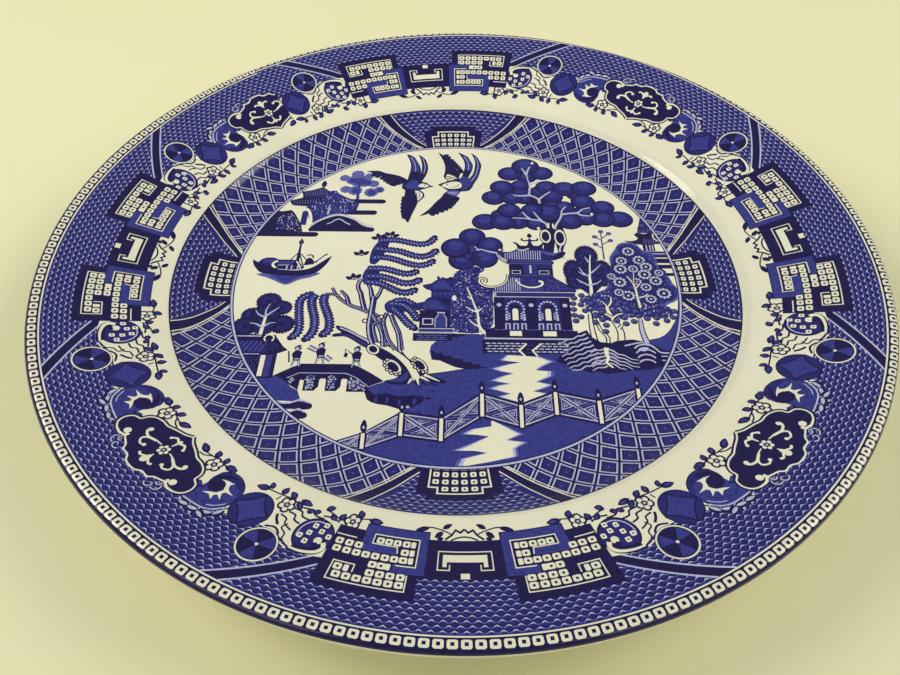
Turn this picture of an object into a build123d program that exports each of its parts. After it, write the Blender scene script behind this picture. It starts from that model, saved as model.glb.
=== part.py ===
from build123d import *
import os

# A ten-inch earthenware dinner plate, modelled as the layers it is made of:
# the fired body, three printed cobalt transfers let into its front face,
# and the clear glaze over the front and inside the foot ring.
# Z is the plate's axis. The origin is the centre of the plane it stands on.
# All sizes are in millimetres.

os.makedirs("parts", exist_ok=True)

# ---- plate as a whole -------------------------------------------------------
PLATE_RADIUS = 127.0
LIP_CORNER_Z = 26.2            # top corner of the lip before it is rounded
LIP_DEPTH = 3.8                # height of the lip's outer edge before rounding
LIP_ROUND = 1.6

# ---- front face -------------------------------------------------------------
FLOOR_Z = 7.0                  # flat well floor
COVE_CORNER_R = 81.7           # where floor and cove wall would meet in a corner
COVE_ROUND = 28.0
SHOULDER_R = 90.7
SHOULDER_Z = 14.1
SHOULDER_ROUND = 6.0

# ---- underside --------------------------------------------------------------
UNDER_SHOULDER_R = 92.6
UNDER_SHOULDER_Z = 10.2
UNDER_SHOULDER_ROUND = 9.0
FOOT_ROOT_OUTER_R = 80.4
FOOT_ROOT_OUTER_Z = 3.0
FOOT_TIP_OUTER_R = 78.8
FOOT_TIP_INNER_R = 75.2
FOOT_ROOT_INNER_R = 73.8
RECESS_Z = 2.7                 # underside of the well floor, inside the foot ring
FOOT_ROOT_ROUND = 1.8
FOOT_TIP_ROUND = 0.9

# ---- layers -----------------------------------------------------------------
GLAZE = 0.25                   # thickness of the clear glaze
FILM = 0.12                    # thickness of a printed transfer
BARE_FOOT = 1.0                # height of the foot ring that is wiped free of glaze
SKIN = 1.5                     # depth that picks the front face's layers out

# ---- printed transfers, as radii on the front face --------------------------
SCENE_R = 71.2
WELL_BORDER_R = 89.6
RIM_BORDER_INNER_R = 92.6
RIM_BORDER_OUTER_R = 126.0

REACH = 2 * PLATE_RADIUS       # a size safely larger than the plate


def rectangle(r_from, r_to, z_from, z_to):
    """A rectangle in the section plane, from its radii and heights."""
    corners = [(r_from, z_from), (r_to, z_from), (r_to, z_to), (r_from, z_to)]
    return make_face(Polyline(*[Vector(r, 0, z) for r, z in corners], close=True))


def plate_section():
    """The whole plate's section, both sides of the axis, glaze included."""
    rounded = [
        (COVE_CORNER_R, FLOOR_Z, COVE_ROUND),
        (SHOULDER_R, SHOULDER_Z, SHOULDER_ROUND),
        (PLATE_RADIUS, LIP_CORNER_Z, LIP_ROUND),
        (PLATE_RADIUS, LIP_CORNER_Z - LIP_DEPTH, LIP_ROUND),
        (UNDER_SHOULDER_R, UNDER_SHOULDER_Z, UNDER_SHOULDER_ROUND),
        (FOOT_ROOT_OUTER_R, FOOT_ROOT_OUTER_Z, FOOT_ROOT_ROUND),
        (FOOT_TIP_OUTER_R, 0.0, FOOT_TIP_ROUND),
        (FOOT_TIP_INNER_R, 0.0, FOOT_TIP_ROUND),
        (FOOT_ROOT_INNER_R, RECESS_Z, FOOT_ROOT_ROUND),
    ]
    left = [(-r, z, rounding) for r, z, rounding in reversed(rounded)]
    start = (0.0, FLOOR_Z)
    under = (0.0, RECESS_Z)
    right_points = [start] + [(r, z) for r, z, _ in rounded] + [under]
    left_points = [under] + [(r, z) for r, z, _ in left] + [start]
    roundings = [rounding for _, _, rounding in rounded]
    right_side = FilletPolyline(*[Vector(r, 0, z) for r, z in right_points], radius=roundings)
    left_side = FilletPolyline(*[Vector(r, 0, z) for r, z in left_points], radius=roundings[::-1])
    return make_face(right_side.edges() + left_side.edges())


def turn(section):
    """Keep the right half of a section and turn it about the plate's axis."""
    half = section & rectangle(0.0, REACH, -REACH, REACH)
    solid = revolve(half, Axis.Z, 360)
    return Compound(children=list(solid.solids())) if len(solid.solids()) > 1 else solid.solid()


def write(node, section):
    """Turn one layer's section and write it as the node's STEP file."""
    solid = turn(section)
    solid.label = node
    export_step(solid, os.path.join("parts", node + ".step"))
    return solid


# ---- sections of the layers -------------------------------------------------
whole = plate_section()
under_glaze = offset(whole, -GLAZE)
under_film = offset(whole, -(GLAZE + FILM))
bare_foot = whole & rectangle(-REACH, REACH, -REACH, BARE_FOOT)
body = under_glaze + bare_foot
front_skin = whole - whole.moved(Location((0, 0, -SKIN)))
film_layer = (under_glaze - under_film) & front_skin


def transfer(inner_r, outer_r):
    """The section of a printed transfer between two radii, both sides of the axis."""
    right = film_layer & rectangle(inner_r, outer_r, -REACH, REACH)
    left = film_layer & rectangle(-outer_r, -inner_r, -REACH, REACH)
    return right + left


centre_scene = film_layer & rectangle(-SCENE_R, SCENE_R, -REACH, REACH)
well_border = transfer(SCENE_R, WELL_BORDER_R)
rim_border = transfer(RIM_BORDER_INNER_R, RIM_BORDER_OUTER_R)

glaze = whole - body
inside_foot = rectangle(-FOOT_TIP_INNER_R, FOOT_TIP_INNER_R, -REACH, (RECESS_Z + FLOOR_Z) / 2)
base_glaze = glaze & inside_foot
main_glaze = glaze - inside_foot
biscuit = body - centre_scene - well_border - rim_border

# ---- the six pieces ---------------------------------------------------------
write("biscuit_body", biscuit)
write("centre_scene_print", centre_scene)
write("well_border_print", well_border)
write("rim_border_print", rim_border)
write("main_glaze", main_glaze)
write("base_glaze", base_glaze)
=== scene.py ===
import math
import random

import bpy
import numpy as np
from mathutils import Matrix, Vector
from mathutils.geometry import delaunay_2d_cdt


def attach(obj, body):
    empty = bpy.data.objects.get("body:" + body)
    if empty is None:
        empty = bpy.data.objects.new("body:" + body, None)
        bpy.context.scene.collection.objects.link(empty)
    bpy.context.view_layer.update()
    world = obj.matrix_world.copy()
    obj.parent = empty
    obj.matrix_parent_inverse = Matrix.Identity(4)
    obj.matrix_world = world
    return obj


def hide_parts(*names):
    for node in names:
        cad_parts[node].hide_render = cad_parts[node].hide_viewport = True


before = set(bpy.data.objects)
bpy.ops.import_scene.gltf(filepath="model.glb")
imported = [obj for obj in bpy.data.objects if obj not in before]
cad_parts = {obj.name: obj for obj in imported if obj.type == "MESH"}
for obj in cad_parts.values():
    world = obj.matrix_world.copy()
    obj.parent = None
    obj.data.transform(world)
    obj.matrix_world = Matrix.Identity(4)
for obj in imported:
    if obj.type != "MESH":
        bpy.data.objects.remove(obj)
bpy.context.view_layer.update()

# A blue-and-white printed dinner plate. The drawing on it is made of flat shapes in
# millimetres, which are cut into triangles, sorted by ink tone and laid on the glaze.
# Everything below is in millimetres until a mesh is made, where MM turns it to metres.

MM = 0.001

# ---- the plate's profile, as in the CAD part --------------------------------
PLATE_RADIUS = 127.0
FLOOR_Z = 7.0
LIP_CORNER_Z = 26.2
LIP_DEPTH = 3.8
LIP_ROUND = 1.6
FRONT_CORNERS = [               # radius, height, rounding of each corner from the middle out
    (81.7, FLOOR_Z, 28.0),
    (90.7, 14.1, 6.0),
    (PLATE_RADIUS, LIP_CORNER_Z, LIP_ROUND),
]
BACK_CORNERS = [
    (PLATE_RADIUS, LIP_CORNER_Z - LIP_DEPTH, LIP_ROUND),
    (92.6, 10.2, 9.0),
    (80.4, 3.0, 1.8),
]
RECESS_Z = 2.7                  # underside of the well floor, inside the foot ring
FOOT_TIP_OUTER = (78.8, 0.0, 0.9)
FOOT_TIP_INNER = (75.2, 0.0, 0.9)
FOOT_ROOT_INNER = (73.8, RECESS_Z, 1.8)
LIP_SEAM = (PLATE_RADIUS, LIP_CORNER_Z - 2.6)   # where the front's outline meets the back's
RIM_SLOPE = 18.4                # degrees
LIP_TANGENT = 2.22              # from the lip's corner back to where its rounding starts
GLAZE = 0.25                    # thickness of the glaze
BARE_FOOT = 1.0                 # height of the foot ring that is wiped free of glaze
FOOT_SEAM_OUTER = (FOOT_TIP_OUTER[0] + 0.5, BARE_FOOT)
FOOT_SEAM_INNER = (FOOT_TIP_INNER[0] - 0.55, BARE_FOOT)
TURNS = 360                     # facets round the plate
LONGEST_FACET = 4.0             # along the section of the solid pieces
LIP_STEP = 0.33                 # along the roundings of the glaze's front
CLEARANCE = 0.02                # between the glaze and the body under it

# ---- the ink ----------------------------------------------------------------
INK_LIFT = 0.035                # height of the printed sheets over the glazed surface
BARE, HAZE, PALE, WASH, DEEP, NAVY = "bare", "haze", "pale", "wash", "deep", "navy"
MERGE = 0.0005                  # points closer than this are one point
SPECK = 0.00002                 # twice the area under which a triangle is left out

random.seed(7)


# =============================================================================
# profile
# =============================================================================

def rounded(corners, start, end, step=0.25):
    """Points along a line from start to end whose corners are rounded with tangent arcs."""
    knots = [start] + [(r, z) for r, z, _ in corners] + [end]
    path = [Vector(start)]
    for i, (r, z, radius) in enumerate(corners):
        corner = Vector((r, z))
        back = (Vector(knots[i]) - corner).normalized()
        on = (Vector(knots[i + 2]) - corner).normalized()
        half = back.angle(on) / 2
        reach = radius / math.tan(half)
        middle = corner + (back + on).normalized() * (radius / math.sin(half))
        first = corner + back * reach - middle
        turn = (math.pi - 2 * half) * (1 if on.cross(back) > 0 else -1)
        count = max(2, math.ceil(abs(turn) * radius / step))
        for k in range(count + 1):
            angle = turn * k / count
            arm = Matrix.Rotation(angle, 2) @ first
            path.append(middle + arm)
    path.append(Vector(end))
    clean = [path[0]]
    for point in path[1:]:
        if (point - clean[-1]).length > 1e-6:
            clean.append(point)
    return clean


def divided(path, longest):
    """The same path with no segment longer than the given length."""
    out = [path[0]]
    for a, b in zip(path, path[1:]):
        count = max(1, math.ceil((b - a).length / longest))
        out += [a.lerp(b, (k + 1) / count) for k in range(count)]
    return out


FRONT = divided(rounded(FRONT_CORNERS, (0.0, FLOOR_Z), LIP_SEAM), 0.5)
BACK = rounded(BACK_CORNERS, LIP_SEAM, FOOT_SEAM_OUTER, step=0.3)


def reach_table():
    """Reach, radius, height and outward normal along the front face.

    Reach is a point's radius up to where the lip starts to round over, and from
    there it goes on at the same rate along the surface, so print wraps the lip.
    """
    radii = np.array([p.x for p in FRONT])
    heights = np.array([p.y for p in FRONT])
    lip_start = LIP_CORNER_Z - LIP_TANGENT * math.sin(math.radians(RIM_SLOPE)) - 0.02
    lip = int(np.argmax(heights > lip_start))
    slope = math.atan2(heights[lip] - heights[lip - 1], radii[lip] - radii[lip - 1])
    steps = np.hypot(np.diff(radii), np.diff(heights))
    reach = radii.copy()
    reach[lip + 1:] = radii[lip] + np.cumsum(steps[lip:]) * math.cos(slope)
    tangent_r = np.gradient(radii)
    tangent_z = np.gradient(heights)
    size = np.hypot(tangent_r, tangent_z)
    return reach, radii, heights, -tangent_z / size, tangent_r / size


REACH, RADII, HEIGHTS, NORMAL_R, NORMAL_Z = reach_table()


def lay(reach, angle, lift=INK_LIFT):
    """Points and normals on the front face, from their reach and angle in radians."""
    nr = np.interp(reach, REACH, NORMAL_R)
    nz = np.interp(reach, REACH, NORMAL_Z)
    size = np.hypot(nr, nz)
    nr, nz = nr / size, nz / size
    r = np.interp(reach, REACH, RADII) + lift * nr
    z = np.interp(reach, REACH, HEIGHTS) + lift * nz
    cos, sin = np.cos(angle), np.sin(angle)
    return np.stack([r * cos, r * sin, z], 1), np.stack([nr * cos, nr * sin, nz], 1)


# =============================================================================
# drawing
# =============================================================================

def signed_area(outline):
    """Twice the area of a closed outline, positive when it runs anticlockwise."""
    total = 0.0
    for (x0, y0), (x1, y1) in zip(outline, outline[1:] + outline[:1]):
        total += x0 * y1 - x1 * y0
    return total


def is_convex(quad):
    """Whether four points in order make a convex, anticlockwise outline."""
    for i in range(4):
        (ax, ay), (bx, by), (cx, cy) = quad[i], quad[(i + 1) % 4], quad[(i + 2) % 4]
        if (bx - ax) * (cy - by) - (by - ay) * (cx - bx) < 1e-9:
            return False
    return True


class Drawing:
    """Flat shapes in ink tones. A later shape covers the ones before it."""

    def __init__(self):
        self.points = []
        self.outlines = []
        self.tones = []
        self.edges = []

    def area(self, tone, outline):
        """A filled outline, which must not cross itself."""
        clean = []
        for x, y in outline:
            if not clean or math.hypot(x - clean[-1][0], y - clean[-1][1]) > 2 * MERGE:
                clean.append((x, y))
        if len(clean) > 2 and math.dist(clean[0], clean[-1]) <= 2 * MERGE:
            clean.pop()
        if len(clean) < 3:
            return
        if signed_area(clean) < 0:
            clean.reverse()
        first = len(self.points)
        self.points += clean
        self.outlines.append(list(range(first, first + len(clean))))
        self.tones.append(tone)

    def line(self, tone, path, width, end_width=None, closed=False):
        """A stroke along a path, whose width may change evenly to end_width."""
        path = [tuple(p) for p in path]
        if closed:
            path = path + [path[0]]
        last = len(path) - 1
        end_width = width if end_width is None else end_width
        sides = []
        for i, (x, y) in enumerate(path):
            before = path[i - 1] if i else (path[last - 1] if closed else None)
            after = path[i + 1] if i < last else (path[1] if closed else None)
            normals = []
            for a, b in ((before, (x, y)), ((x, y), after)):
                if a is None or b is None:
                    continue
                dx, dy = b[0] - a[0], b[1] - a[1]
                size = math.hypot(dx, dy) or 1.0
                normals.append((-dy / size, dx / size))
            nx = sum(n[0] for n in normals) / len(normals)
            ny = sum(n[1] for n in normals) / len(normals)
            spread = max(nx * nx + ny * ny, 0.35)
            half = (width + (end_width - width) * i / last) / 2 / spread
            half = max(half, 0.02)
            sides.append(((x + nx * half, y + ny * half), (x - nx * half, y - ny * half)))
        for i in range(last):
            (l0, r0), (l1, r1) = sides[i], sides[i + 1]
            quad = [r0, r1, l1, l0]
            if is_convex(quad):
                self.area(tone, quad)
                continue
            (ax, ay), (bx, by) = path[i], path[i + 1]
            size = math.hypot(bx - ax, by - ay)
            if size < 3 * MERGE:
                continue
            half = (width + (end_width - width) * i / last) / 2
            nx, ny = -(by - ay) / size * half, (bx - ax) / size * half
            self.area(tone, [(ax - nx, ay - ny), (bx - nx, by - ny), (bx + nx, by + ny),
                    (ax + nx, ay + ny)])

    def shape(self, tone, points, steps=3):
        """A filled outline that runs smoothly through the points."""
        self.area(tone, smooth(points, closed=True, steps=steps))

    def two_sided(self, tone, side, other):
        """A filled outline of two smooth sides, one after the other."""
        self.area(tone, smooth(side, steps=3) + smooth(other, steps=3))

    def stroke(self, tone, points, width, end_width=None, steps=3):
        """A stroke along a smooth curve through the points."""
        self.line(tone, smooth(points, steps=steps), width, end_width)

    def disc(self, tone, x, y, radius, count=16, squash=1.0):
        """A filled circle, or an ellipse whose height is squash times its width."""
        self.area(tone, circle(x, y, radius, count, squash))

    def ring(self, tone, x, y, radius, width, count=24):
        """A circle drawn as a line."""
        self.line(tone, circle(x, y, radius, count), width, closed=True)

    def box(self, tone, x0, y0, x1, y1):
        """A filled upright rectangle."""
        self.area(tone, [(x0, y0), (x1, y0), (x1, y1), (x0, y1)])

    def cut(self, path, closed=False):
        """A line that the triangles may not cross. It has no ink."""
        first = len(self.points)
        self.points += [tuple(p) for p in path]
        self.edges += [(first + i, first + i + 1) for i in range(len(path) - 1)]
        if closed:
            self.edges.append((first + len(path) - 1, first))

    def grid(self, x0, x1, dx, y0, y1, dy):
        """Cuts in both directions, so that no triangle is larger than a cell."""
        for k in range(math.ceil((x1 - x0) / dx) + 1):
            x = min(x0 + k * dx, x1)
            self.cut([(x, y0), (x, y1)])
        for k in range(math.ceil((y1 - y0) / dy) + 1):
            y = min(y0 + k * dy, y1)
            self.cut([(x0, y), (x1, y)])

    def cut_up(self, keep=None):
        """Triangles of each tone, {tone: (points, triangles)}. The topmost shape gives the tone."""
        coords = [Vector(p) for p in self.points]
        found = delaunay_2d_cdt(coords, self.edges, self.outlines, 0, MERGE, True)
        points = np.array([tuple(p) for p in found[0]])
        by_tone = {}
        for triangle, owners in zip(found[2], found[5]):
            if not owners:
                continue
            tone = self.tones[max(owners)]
            if tone != BARE:
                by_tone.setdefault(tone, []).append(triangle)
        for tone, triangles in by_tone.items():
            triangles = np.array(triangles)
            if keep is not None:
                middle = points[triangles].mean(1)
                triangles = triangles[keep(middle[:, 0], middle[:, 1])]
            used, triangles = np.unique(triangles, return_inverse=True)
            by_tone[tone] = (points[used], triangles.reshape(-1, 3))
        return by_tone


def circle(x, y, radius, count=16, squash=1.0):
    """Points round a circle, or round an ellipse whose height is squash times its width."""
    turns = [2 * math.pi * (k + 0.5) / count for k in range(count)]
    return [(x + radius * math.cos(t), y + squash * radius * math.sin(t)) for t in turns]


def arc(x, y, radius, start, end, count=12, squash=1.0):
    """Points along an arc, its angles in degrees."""
    turns = [math.radians(start + (end - start) * k / count) for k in range(count + 1)]
    return [(x + radius * math.cos(t), y + squash * radius * math.sin(t)) for t in turns]


def smooth(points, closed=False, steps=4):
    """A smooth curve through the points."""
    n = len(points)
    spans = n if closed else n - 1
    out = []
    for i in range(spans):
        if closed:
            p0, p1, p2, p3 = (points[(i + k) % n] for k in (-1, 0, 1, 2))
        else:
            p0, p1, p2, p3 = (points[min(max(i + k, 0), n - 1)] for k in (-1, 0, 1, 2))
        for k in range(steps):
            t = k / steps
            out.append(tuple(
                0.5 * (2 * b + (c - a) * t + (2 * a - 5 * b + 4 * c - d) * t * t
                       + (3 * b - a - 3 * c + d) * t * t * t)
                for a, b, c, d in zip(p0, p1, p2, p3)))
    if not closed:
        out.append(tuple(points[-1]))
    return out


def turned(points, x, y, angle):
    """The points turned by an angle in degrees and moved."""
    c, s = math.cos(math.radians(angle)), math.sin(math.radians(angle))
    return [(x + px * c - py * s, y + px * s + py * c) for px, py in points]


def leaf(x, y, length, width, angle):
    """A pointed oval leaf from its stalk's end."""
    half = [(0, 0), (0.25, 0.42), (0.55, 0.5), (0.85, 0.25), (1, 0)]
    shape = [(a * length, b * width) for a, b in half]
    shape += [(a * length, -b * width) for a, b in half[-2:0:-1]]
    return turned(shape, x, y, angle)


# =============================================================================
# sheets of ink on the plate
# =============================================================================

class Sheets:
    """The print of one zone: one mesh for each ink tone."""

    def __init__(self, zone):
        self.zone = zone
        self.parts = {}

    def add(self, by_tone, place):
        """Lay cut-up drawings on the plate with a function of x and y."""
        for tone, (points, triangles) in by_tone.items():
            if not len(triangles):
                continue
            where, normals = place(points[:, 0], points[:, 1])
            a, b, c = (where[triangles[:, k]] for k in range(3))
            across = np.cross(b - a, c - a)
            outward = (across * normals[triangles[:, 0]]).sum()
            triangles = triangles[np.linalg.norm(across, axis=1) > SPECK]
            if outward < 0:
                triangles = triangles[:, ::-1]
            self.parts.setdefault(tone, []).append((where, normals, triangles))

    def build(self, materials):
        """Make the meshes and return them by tone."""
        made = {}
        for tone, parts in self.parts.items():
            offset = 0
            faces = []
            for where, _, triangles in parts:
                faces.append(triangles + offset)
                offset += len(where)
            used, faces = np.unique(np.concatenate(faces), return_inverse=True)
            where = np.concatenate([p[0] for p in parts])[used] * MM
            normals = np.concatenate([p[1] for p in parts])[used]
            name = self.zone + "_" + tone
            made[tone] = mesh_object(name, where, faces.reshape(-1, 3), normals, materials[tone])
        return made


def in_scene(name, data):
    """A new object, linked into the scene."""
    piece = bpy.data.objects.new(name, data)
    bpy.context.scene.collection.objects.link(piece)
    return piece


def mesh_object(name, points, faces, normals, material):
    """A smooth-shaded mesh object with its own vertex normals."""
    mesh = bpy.data.meshes.new(name)
    mesh.from_pydata(points.tolist(), [], faces.tolist())
    mesh.polygons.foreach_set("use_smooth", [True] * len(mesh.polygons))
    mesh.normals_split_custom_set_from_vertices(normals.tolist())
    mesh.materials.append(material)
    mesh.update()
    return in_scene(name, mesh)


# =============================================================================
# shared ornament
# =============================================================================

def chevrons(drawing, x0, x1, columns, y0, y1, rows, inside):
    """Rows of small V marks inside a field, every other row moved along by half a step."""
    dx, dy = (x1 - x0) / columns, (y1 - y0) / rows
    for row in range(rows):
        y = y0 + (row + 0.3) * dy
        for column in range(columns + 1):
            x = x0 + (column + 0.5 * (row % 2)) * dx
            if x > x1 + 0.6 * dx or not inside(x, y):
                continue
            w, h = 0.45 * dx, 0.52 * dy
            drawing.line(NAVY, [(x - w, y + 0.4 * h), (x, y - 0.6 * h), (x + w, y + 0.4 * h)], 0.26)
            drawing.line(PALE, [(x - w, y + h), (x, y), (x + w, y + h)], 0.3)
            drawing.line(HAZE, [(x - 0.45 * w, y + 0.45 * h), (x, y), (x + 0.45 * w, y + 0.45 * h)],
                    0.26)


def cell(drawing, x, y, width=2.1, height=1.85, dot=0.62):
    """A small white square, its corners cut, with a dark square in it if asked."""
    c = 0.15 * width
    w, h = width / 2, height / 2
    drawing.area(BARE, [(x - w + c, y - h), (x + w - c, y - h), (x + w, y - h + c), (x + w, y + h - c),
            (x + w - c, y + h), (x - w + c, y + h), (x - w, y + h - c), (x - w, y - h + c)])
    if dot:
        drawing.box(NAVY, x - dot / 2, y - dot / 2, x + dot / 2, y + dot / 2)


def blossom(drawing, x, y, radius, petals=5, turn=0.0, tone=BARE):
    """A round flower: pale petals edged in navy, a navy eye with a pale centre."""
    step = 2 * math.pi / petals
    reach = 0.62 * radius
    petal = 0.6 * radius * math.sin(step / 2)
    for ink, size in ((NAVY, 1.75 * petal), (tone, petal)):
        for k in range(petals):
            t = step * k + math.radians(turn)
            drawing.disc(ink, x + reach * math.cos(t), y + reach * math.sin(t), size, 8)
    drawing.disc(NAVY, x, y, 0.42 * radius, 8)
    drawing.disc(HAZE, x, y, 0.2 * radius, 6)


# =============================================================================
# rim border
# =============================================================================
# One unit runs from the middle of a fret group to the middle of a medallion. Its
# points are given as degrees round the rim and radius, then mirrored and repeated.

RIM_HALF = 46.25                # degrees in a unit
RIM_SCALE = 2.0                 # millimetres of drawing for a degree
GROUP_ANGLES = (180.4, 271.1, 363.6, 457.9)     # degrees round the plate of each group
JOIN_ANGLE = 130.4              # where the tissue's two ends meet
FRET_STOP, MEDALLION_START = 32.5, 42.5     # degrees in a unit where the tissue's ends are cut
GROUND_TOP = 123.65             # radius where the dark ground ends and the bead band starts
BEADS = 270                     # white squares in the band
BAND_OUTER = 127.9              # reach of the band, on the lip's outer side
# How far the tissue strays from its place along the rim: angle, millimetres outward.
STRAY = (
    (130, -0.5), (155, -1.2), (225, -0.4), (260, -0.65), (315, -0.1), (362, 0.05), (392, 0.35),
    (420, 1.7), (440, 0.9), (455, 0.5), (491, 0.5),
)


def rim_point(a, r):
    """A drawing point from degrees and radius."""
    return RIM_SCALE * a, r


def rim(points):
    """Drawing points from degrees and radius."""
    return [rim_point(a, r) for a, r in points]


def fret_group(d):
    """The key in the middle, the interlocked fret with its cells, and their dark ground."""
    d.area(NAVY, rim([(0, 98.6), (17.7, 98.6), (17.7, 116.2), (5.7, 116.2), (5.7, 109.9), (0, 109.9)]))
    d.line(BARE, rim([(0, 101.9), (3.45, 101.9), (3.45, 107.2), (1.95, 107.2), (1.95, 105.6)]), 0.34)
    d.area(BARE, rim([(0, 102.8), (2.85, 102.8), (2.85, 106.3), (2.3, 106.3), (2.3, 104.9),
            (0, 104.9)]))
    d.area(BARE, rim([(0, 108.0), (0.55, 108.0), (0.55, 109.6), (0, 109.5)]))
    d.area(WASH, rim([(4.9, 96.4), (13.9, 96.4), (13.9, 104.4), (9.0, 104.4), (9.0, 109.2),
            (4.9, 109.2)]))
    d.line(NAVY, rim([(13.9, 104.4), (13.9, 96.4), (4.9, 96.4), (4.9, 109.2)]), 0.3)
    upper = [(7.0, 109.5), (7.0, 113.9), (16.2, 113.9), (16.2, 108.8), (13.5, 108.8), (13.5, 111.0)]
    lower = [(8.7, 107.1), (6.15, 107.1), (6.15, 99.1), (12.4, 99.1), (12.4, 101.9), (9.0, 101.9),
            (8.8, 103.8)]
    field_upper = [(7.0, 109.2), (7.0, 113.9), (16.2, 113.9), (16.2, 108.8), (13.5, 108.8),
            (13.5, 111.2), (12.1, 111.2), (12.1, 106.5), (9.0, 106.5), (9.0, 109.2)]
    field_lower = [(6.15, 99.1), (12.4, 99.1), (12.4, 101.9), (8.8, 101.9), (8.8, 104.3), (14, 104.3),
            (14, 106.7), (6.15, 106.9)]
    d.area(NAVY, rim(field_upper))
    d.area(NAVY, rim(field_lower))
    d.line(BARE, rim(upper), 0.34)
    d.line(BARE, rim(lower), 0.34)
    d.line(BARE, rim([(14.7, 101.3), (17.5, 101.3)]), 0.35)
    rows = (
        (112.3, (7.7, 8.95, 10.2, 11.45, 12.7, 13.95, 15.2)),
        (110.2, (7.7, 8.95, 10.2, 11.45, 14.35, 15.4)),
        (107.85, (9.55, 10.35, 11.45)),
        (105.45, (6.9, 7.85, 9.0, 10.2, 11.45, 12.7, 13.95, 15.25, 16.6)),
        (103.2, (6.9, 7.85, 14.05, 15.35, 16.7)),
        (100.75, (6.9, 7.85, 9.1, 10.3, 11.45)),
    )
    for r, angles in rows:
        for a in angles:
            narrow = a in (6.9, 9.55, 14.35)
            cell(d, RIM_SCALE * a, r, 1.3 if narrow else 2.1, 1.8, 0.0 if narrow else 0.62)


def key_fringe(d):
    """The scalloped fringe, stems and leaves under the key."""
    d.stroke(NAVY, rim([(0, 97.35), (1.0, 97.7), (1.9, 98.5)]), 0.45, steps=4)
    d.line(NAVY, rim([(0, 95.0), (0.55, 96.1), (1.25, 95.3), (1.8, 96.9), (2.7, 98.3)]), 0.6)
    d.stroke(NAVY, rim([(1.9, 96.6), (3.0, 95.6), (4.6, 94.8), (5.6, 94.9)]), 0.38, steps=4)
    d.area(NAVY, leaf(*rim_point(3.2, 95.0), 3.3, 1.5, 208))
    d.area(NAVY, leaf(*rim_point(3.0, 96.0), 3.1, 1.7, 38))
    d.area(NAVY, leaf(*rim_point(5.0, 94.9), 4.4, 1.6, 16))
    d.area(NAVY, leaf(*rim_point(2.9, 98.0), 2.0, 1.1, 8))


def scroll_end(d):
    """The rolled end of the fret, and the acanthus leaf that clasps it."""
    d.area(BARE, rim([(17.7, 99.4), (17.7, 97.6), (20.5, 97.2), (23.5, 97.6), (26.5, 97.4),
            (27.4, 99.4), (26.6, 101.6), (26.8, 104.6), (27.4, 107.0), (25.6, 106.8), (24.2, 107.4),
            (23.2, 108.6), (21.6, 109.9), (19.6, 109.9), (17.7, 109.2)]))
    d.disc(DEEP, *rim_point(20.2, 104.2), 5.2, 28)
    d.ring(NAVY, *rim_point(20.2, 104.2), 5.2, 0.5, 28)
    d.line(HAZE, arc(RIM_SCALE * 20.2, 104.2, 4.4, -115, 20, 12), 0.35)
    for a, r in (
        (20.85, 106.3), (20.95, 103.7), (19.5, 102.4), (18.3, 103.3), (20.7, 101.3), (19.3, 100.3),
        (21.9, 105.2),
    ):
        cell(d, RIM_SCALE * a, r, 1.45, 1.5, 0.45)
    d.stroke(NAVY, rim([(21.9, 109.2), (20.4, 109.0), (18.9, 108.0), (18.4, 106.4), (18.9, 105.0)]),
            2.2, steps=4)
    d.stroke(BARE, rim([(22.2, 109.3), (20.6, 109.3), (18.9, 108.4), (18.2, 106.8), (18.5, 105.3)]),
            0.5, 1.35, steps=4)
    d.disc(BARE, *rim_point(19.3, 105.2), 1.1, 14)
    d.disc(NAVY, *rim_point(19.35, 106.6), 0.8, 10)
    for path, width in (
        ([(22.2, 109.5), (23.5, 108.2), (23.7, 106.4), (24.6, 105.2), (24.2, 103.6)], 0.4),
        ([(24.3, 107.3), (24.9, 106.2), (25.6, 105.9), (26.6, 106.6)], 0.55),
        ([(23.3, 105.0), (24.6, 103.9), (24.9, 102.4), (26.0, 101.9)], 0.45),
        ([(22.9, 102.4), (23.9, 101.9), (24.2, 100.5), (25.3, 100.3)], 0.5),
        ([(22.0, 100.4), (23.2, 100.2), (23.7, 98.9), (25.0, 98.8)], 0.5),
        ([(20.2, 98.7), (21.6, 98.6), (22.6, 97.4), (24.0, 97.7)], 0.5),
        ([(18.0, 98.3), (19.2, 97.6), (20.6, 97.9)], 0.5),
        ([(25.3, 104.9), (26.0, 103.6), (26.4, 102.2)], 0.7),
        ([(24.9, 108.0), (25.6, 107.2), (27.0, 107.3)], 0.35),
    ):
        d.stroke(NAVY, rim(path), width)
    d.stroke(BARE, rim([(22.4, 109.9), (23.6, 109.0), (24.2, 107.9)]), 0.5, 0.2, steps=4)


def sectored_disc(d):
    """The ringed disc between fret and coin, with six sectors in two tones."""
    x, y = rim_point(25.65, 111.9)
    d.disc(NAVY, x, y, 5.1, 30)
    d.ring(BARE, x, y, 4.75, 0.45, 30)
    for start in (65, 185, 305):
        d.area(WASH, [(x, y)] + arc(x, y, 4.2, start, start + 50, 5))
    d.disc(BARE, x, y, 0.45, 8)


def rim_bar(d):
    """The slanting dark bar from the fret group out to the edge band."""
    d.area(NAVY, rim([(17.7, 107.6), (28.5, GROUND_TOP), (26.1, GROUND_TOP), (17.7, 111.2)]))
    d.line(HAZE, rim([(17.7, 111.2), (26.1, GROUND_TOP)]), 0.46)
    d.line(HAZE, rim([(17.7, 107.8), (28.4, GROUND_TOP)]), 0.46)


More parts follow.
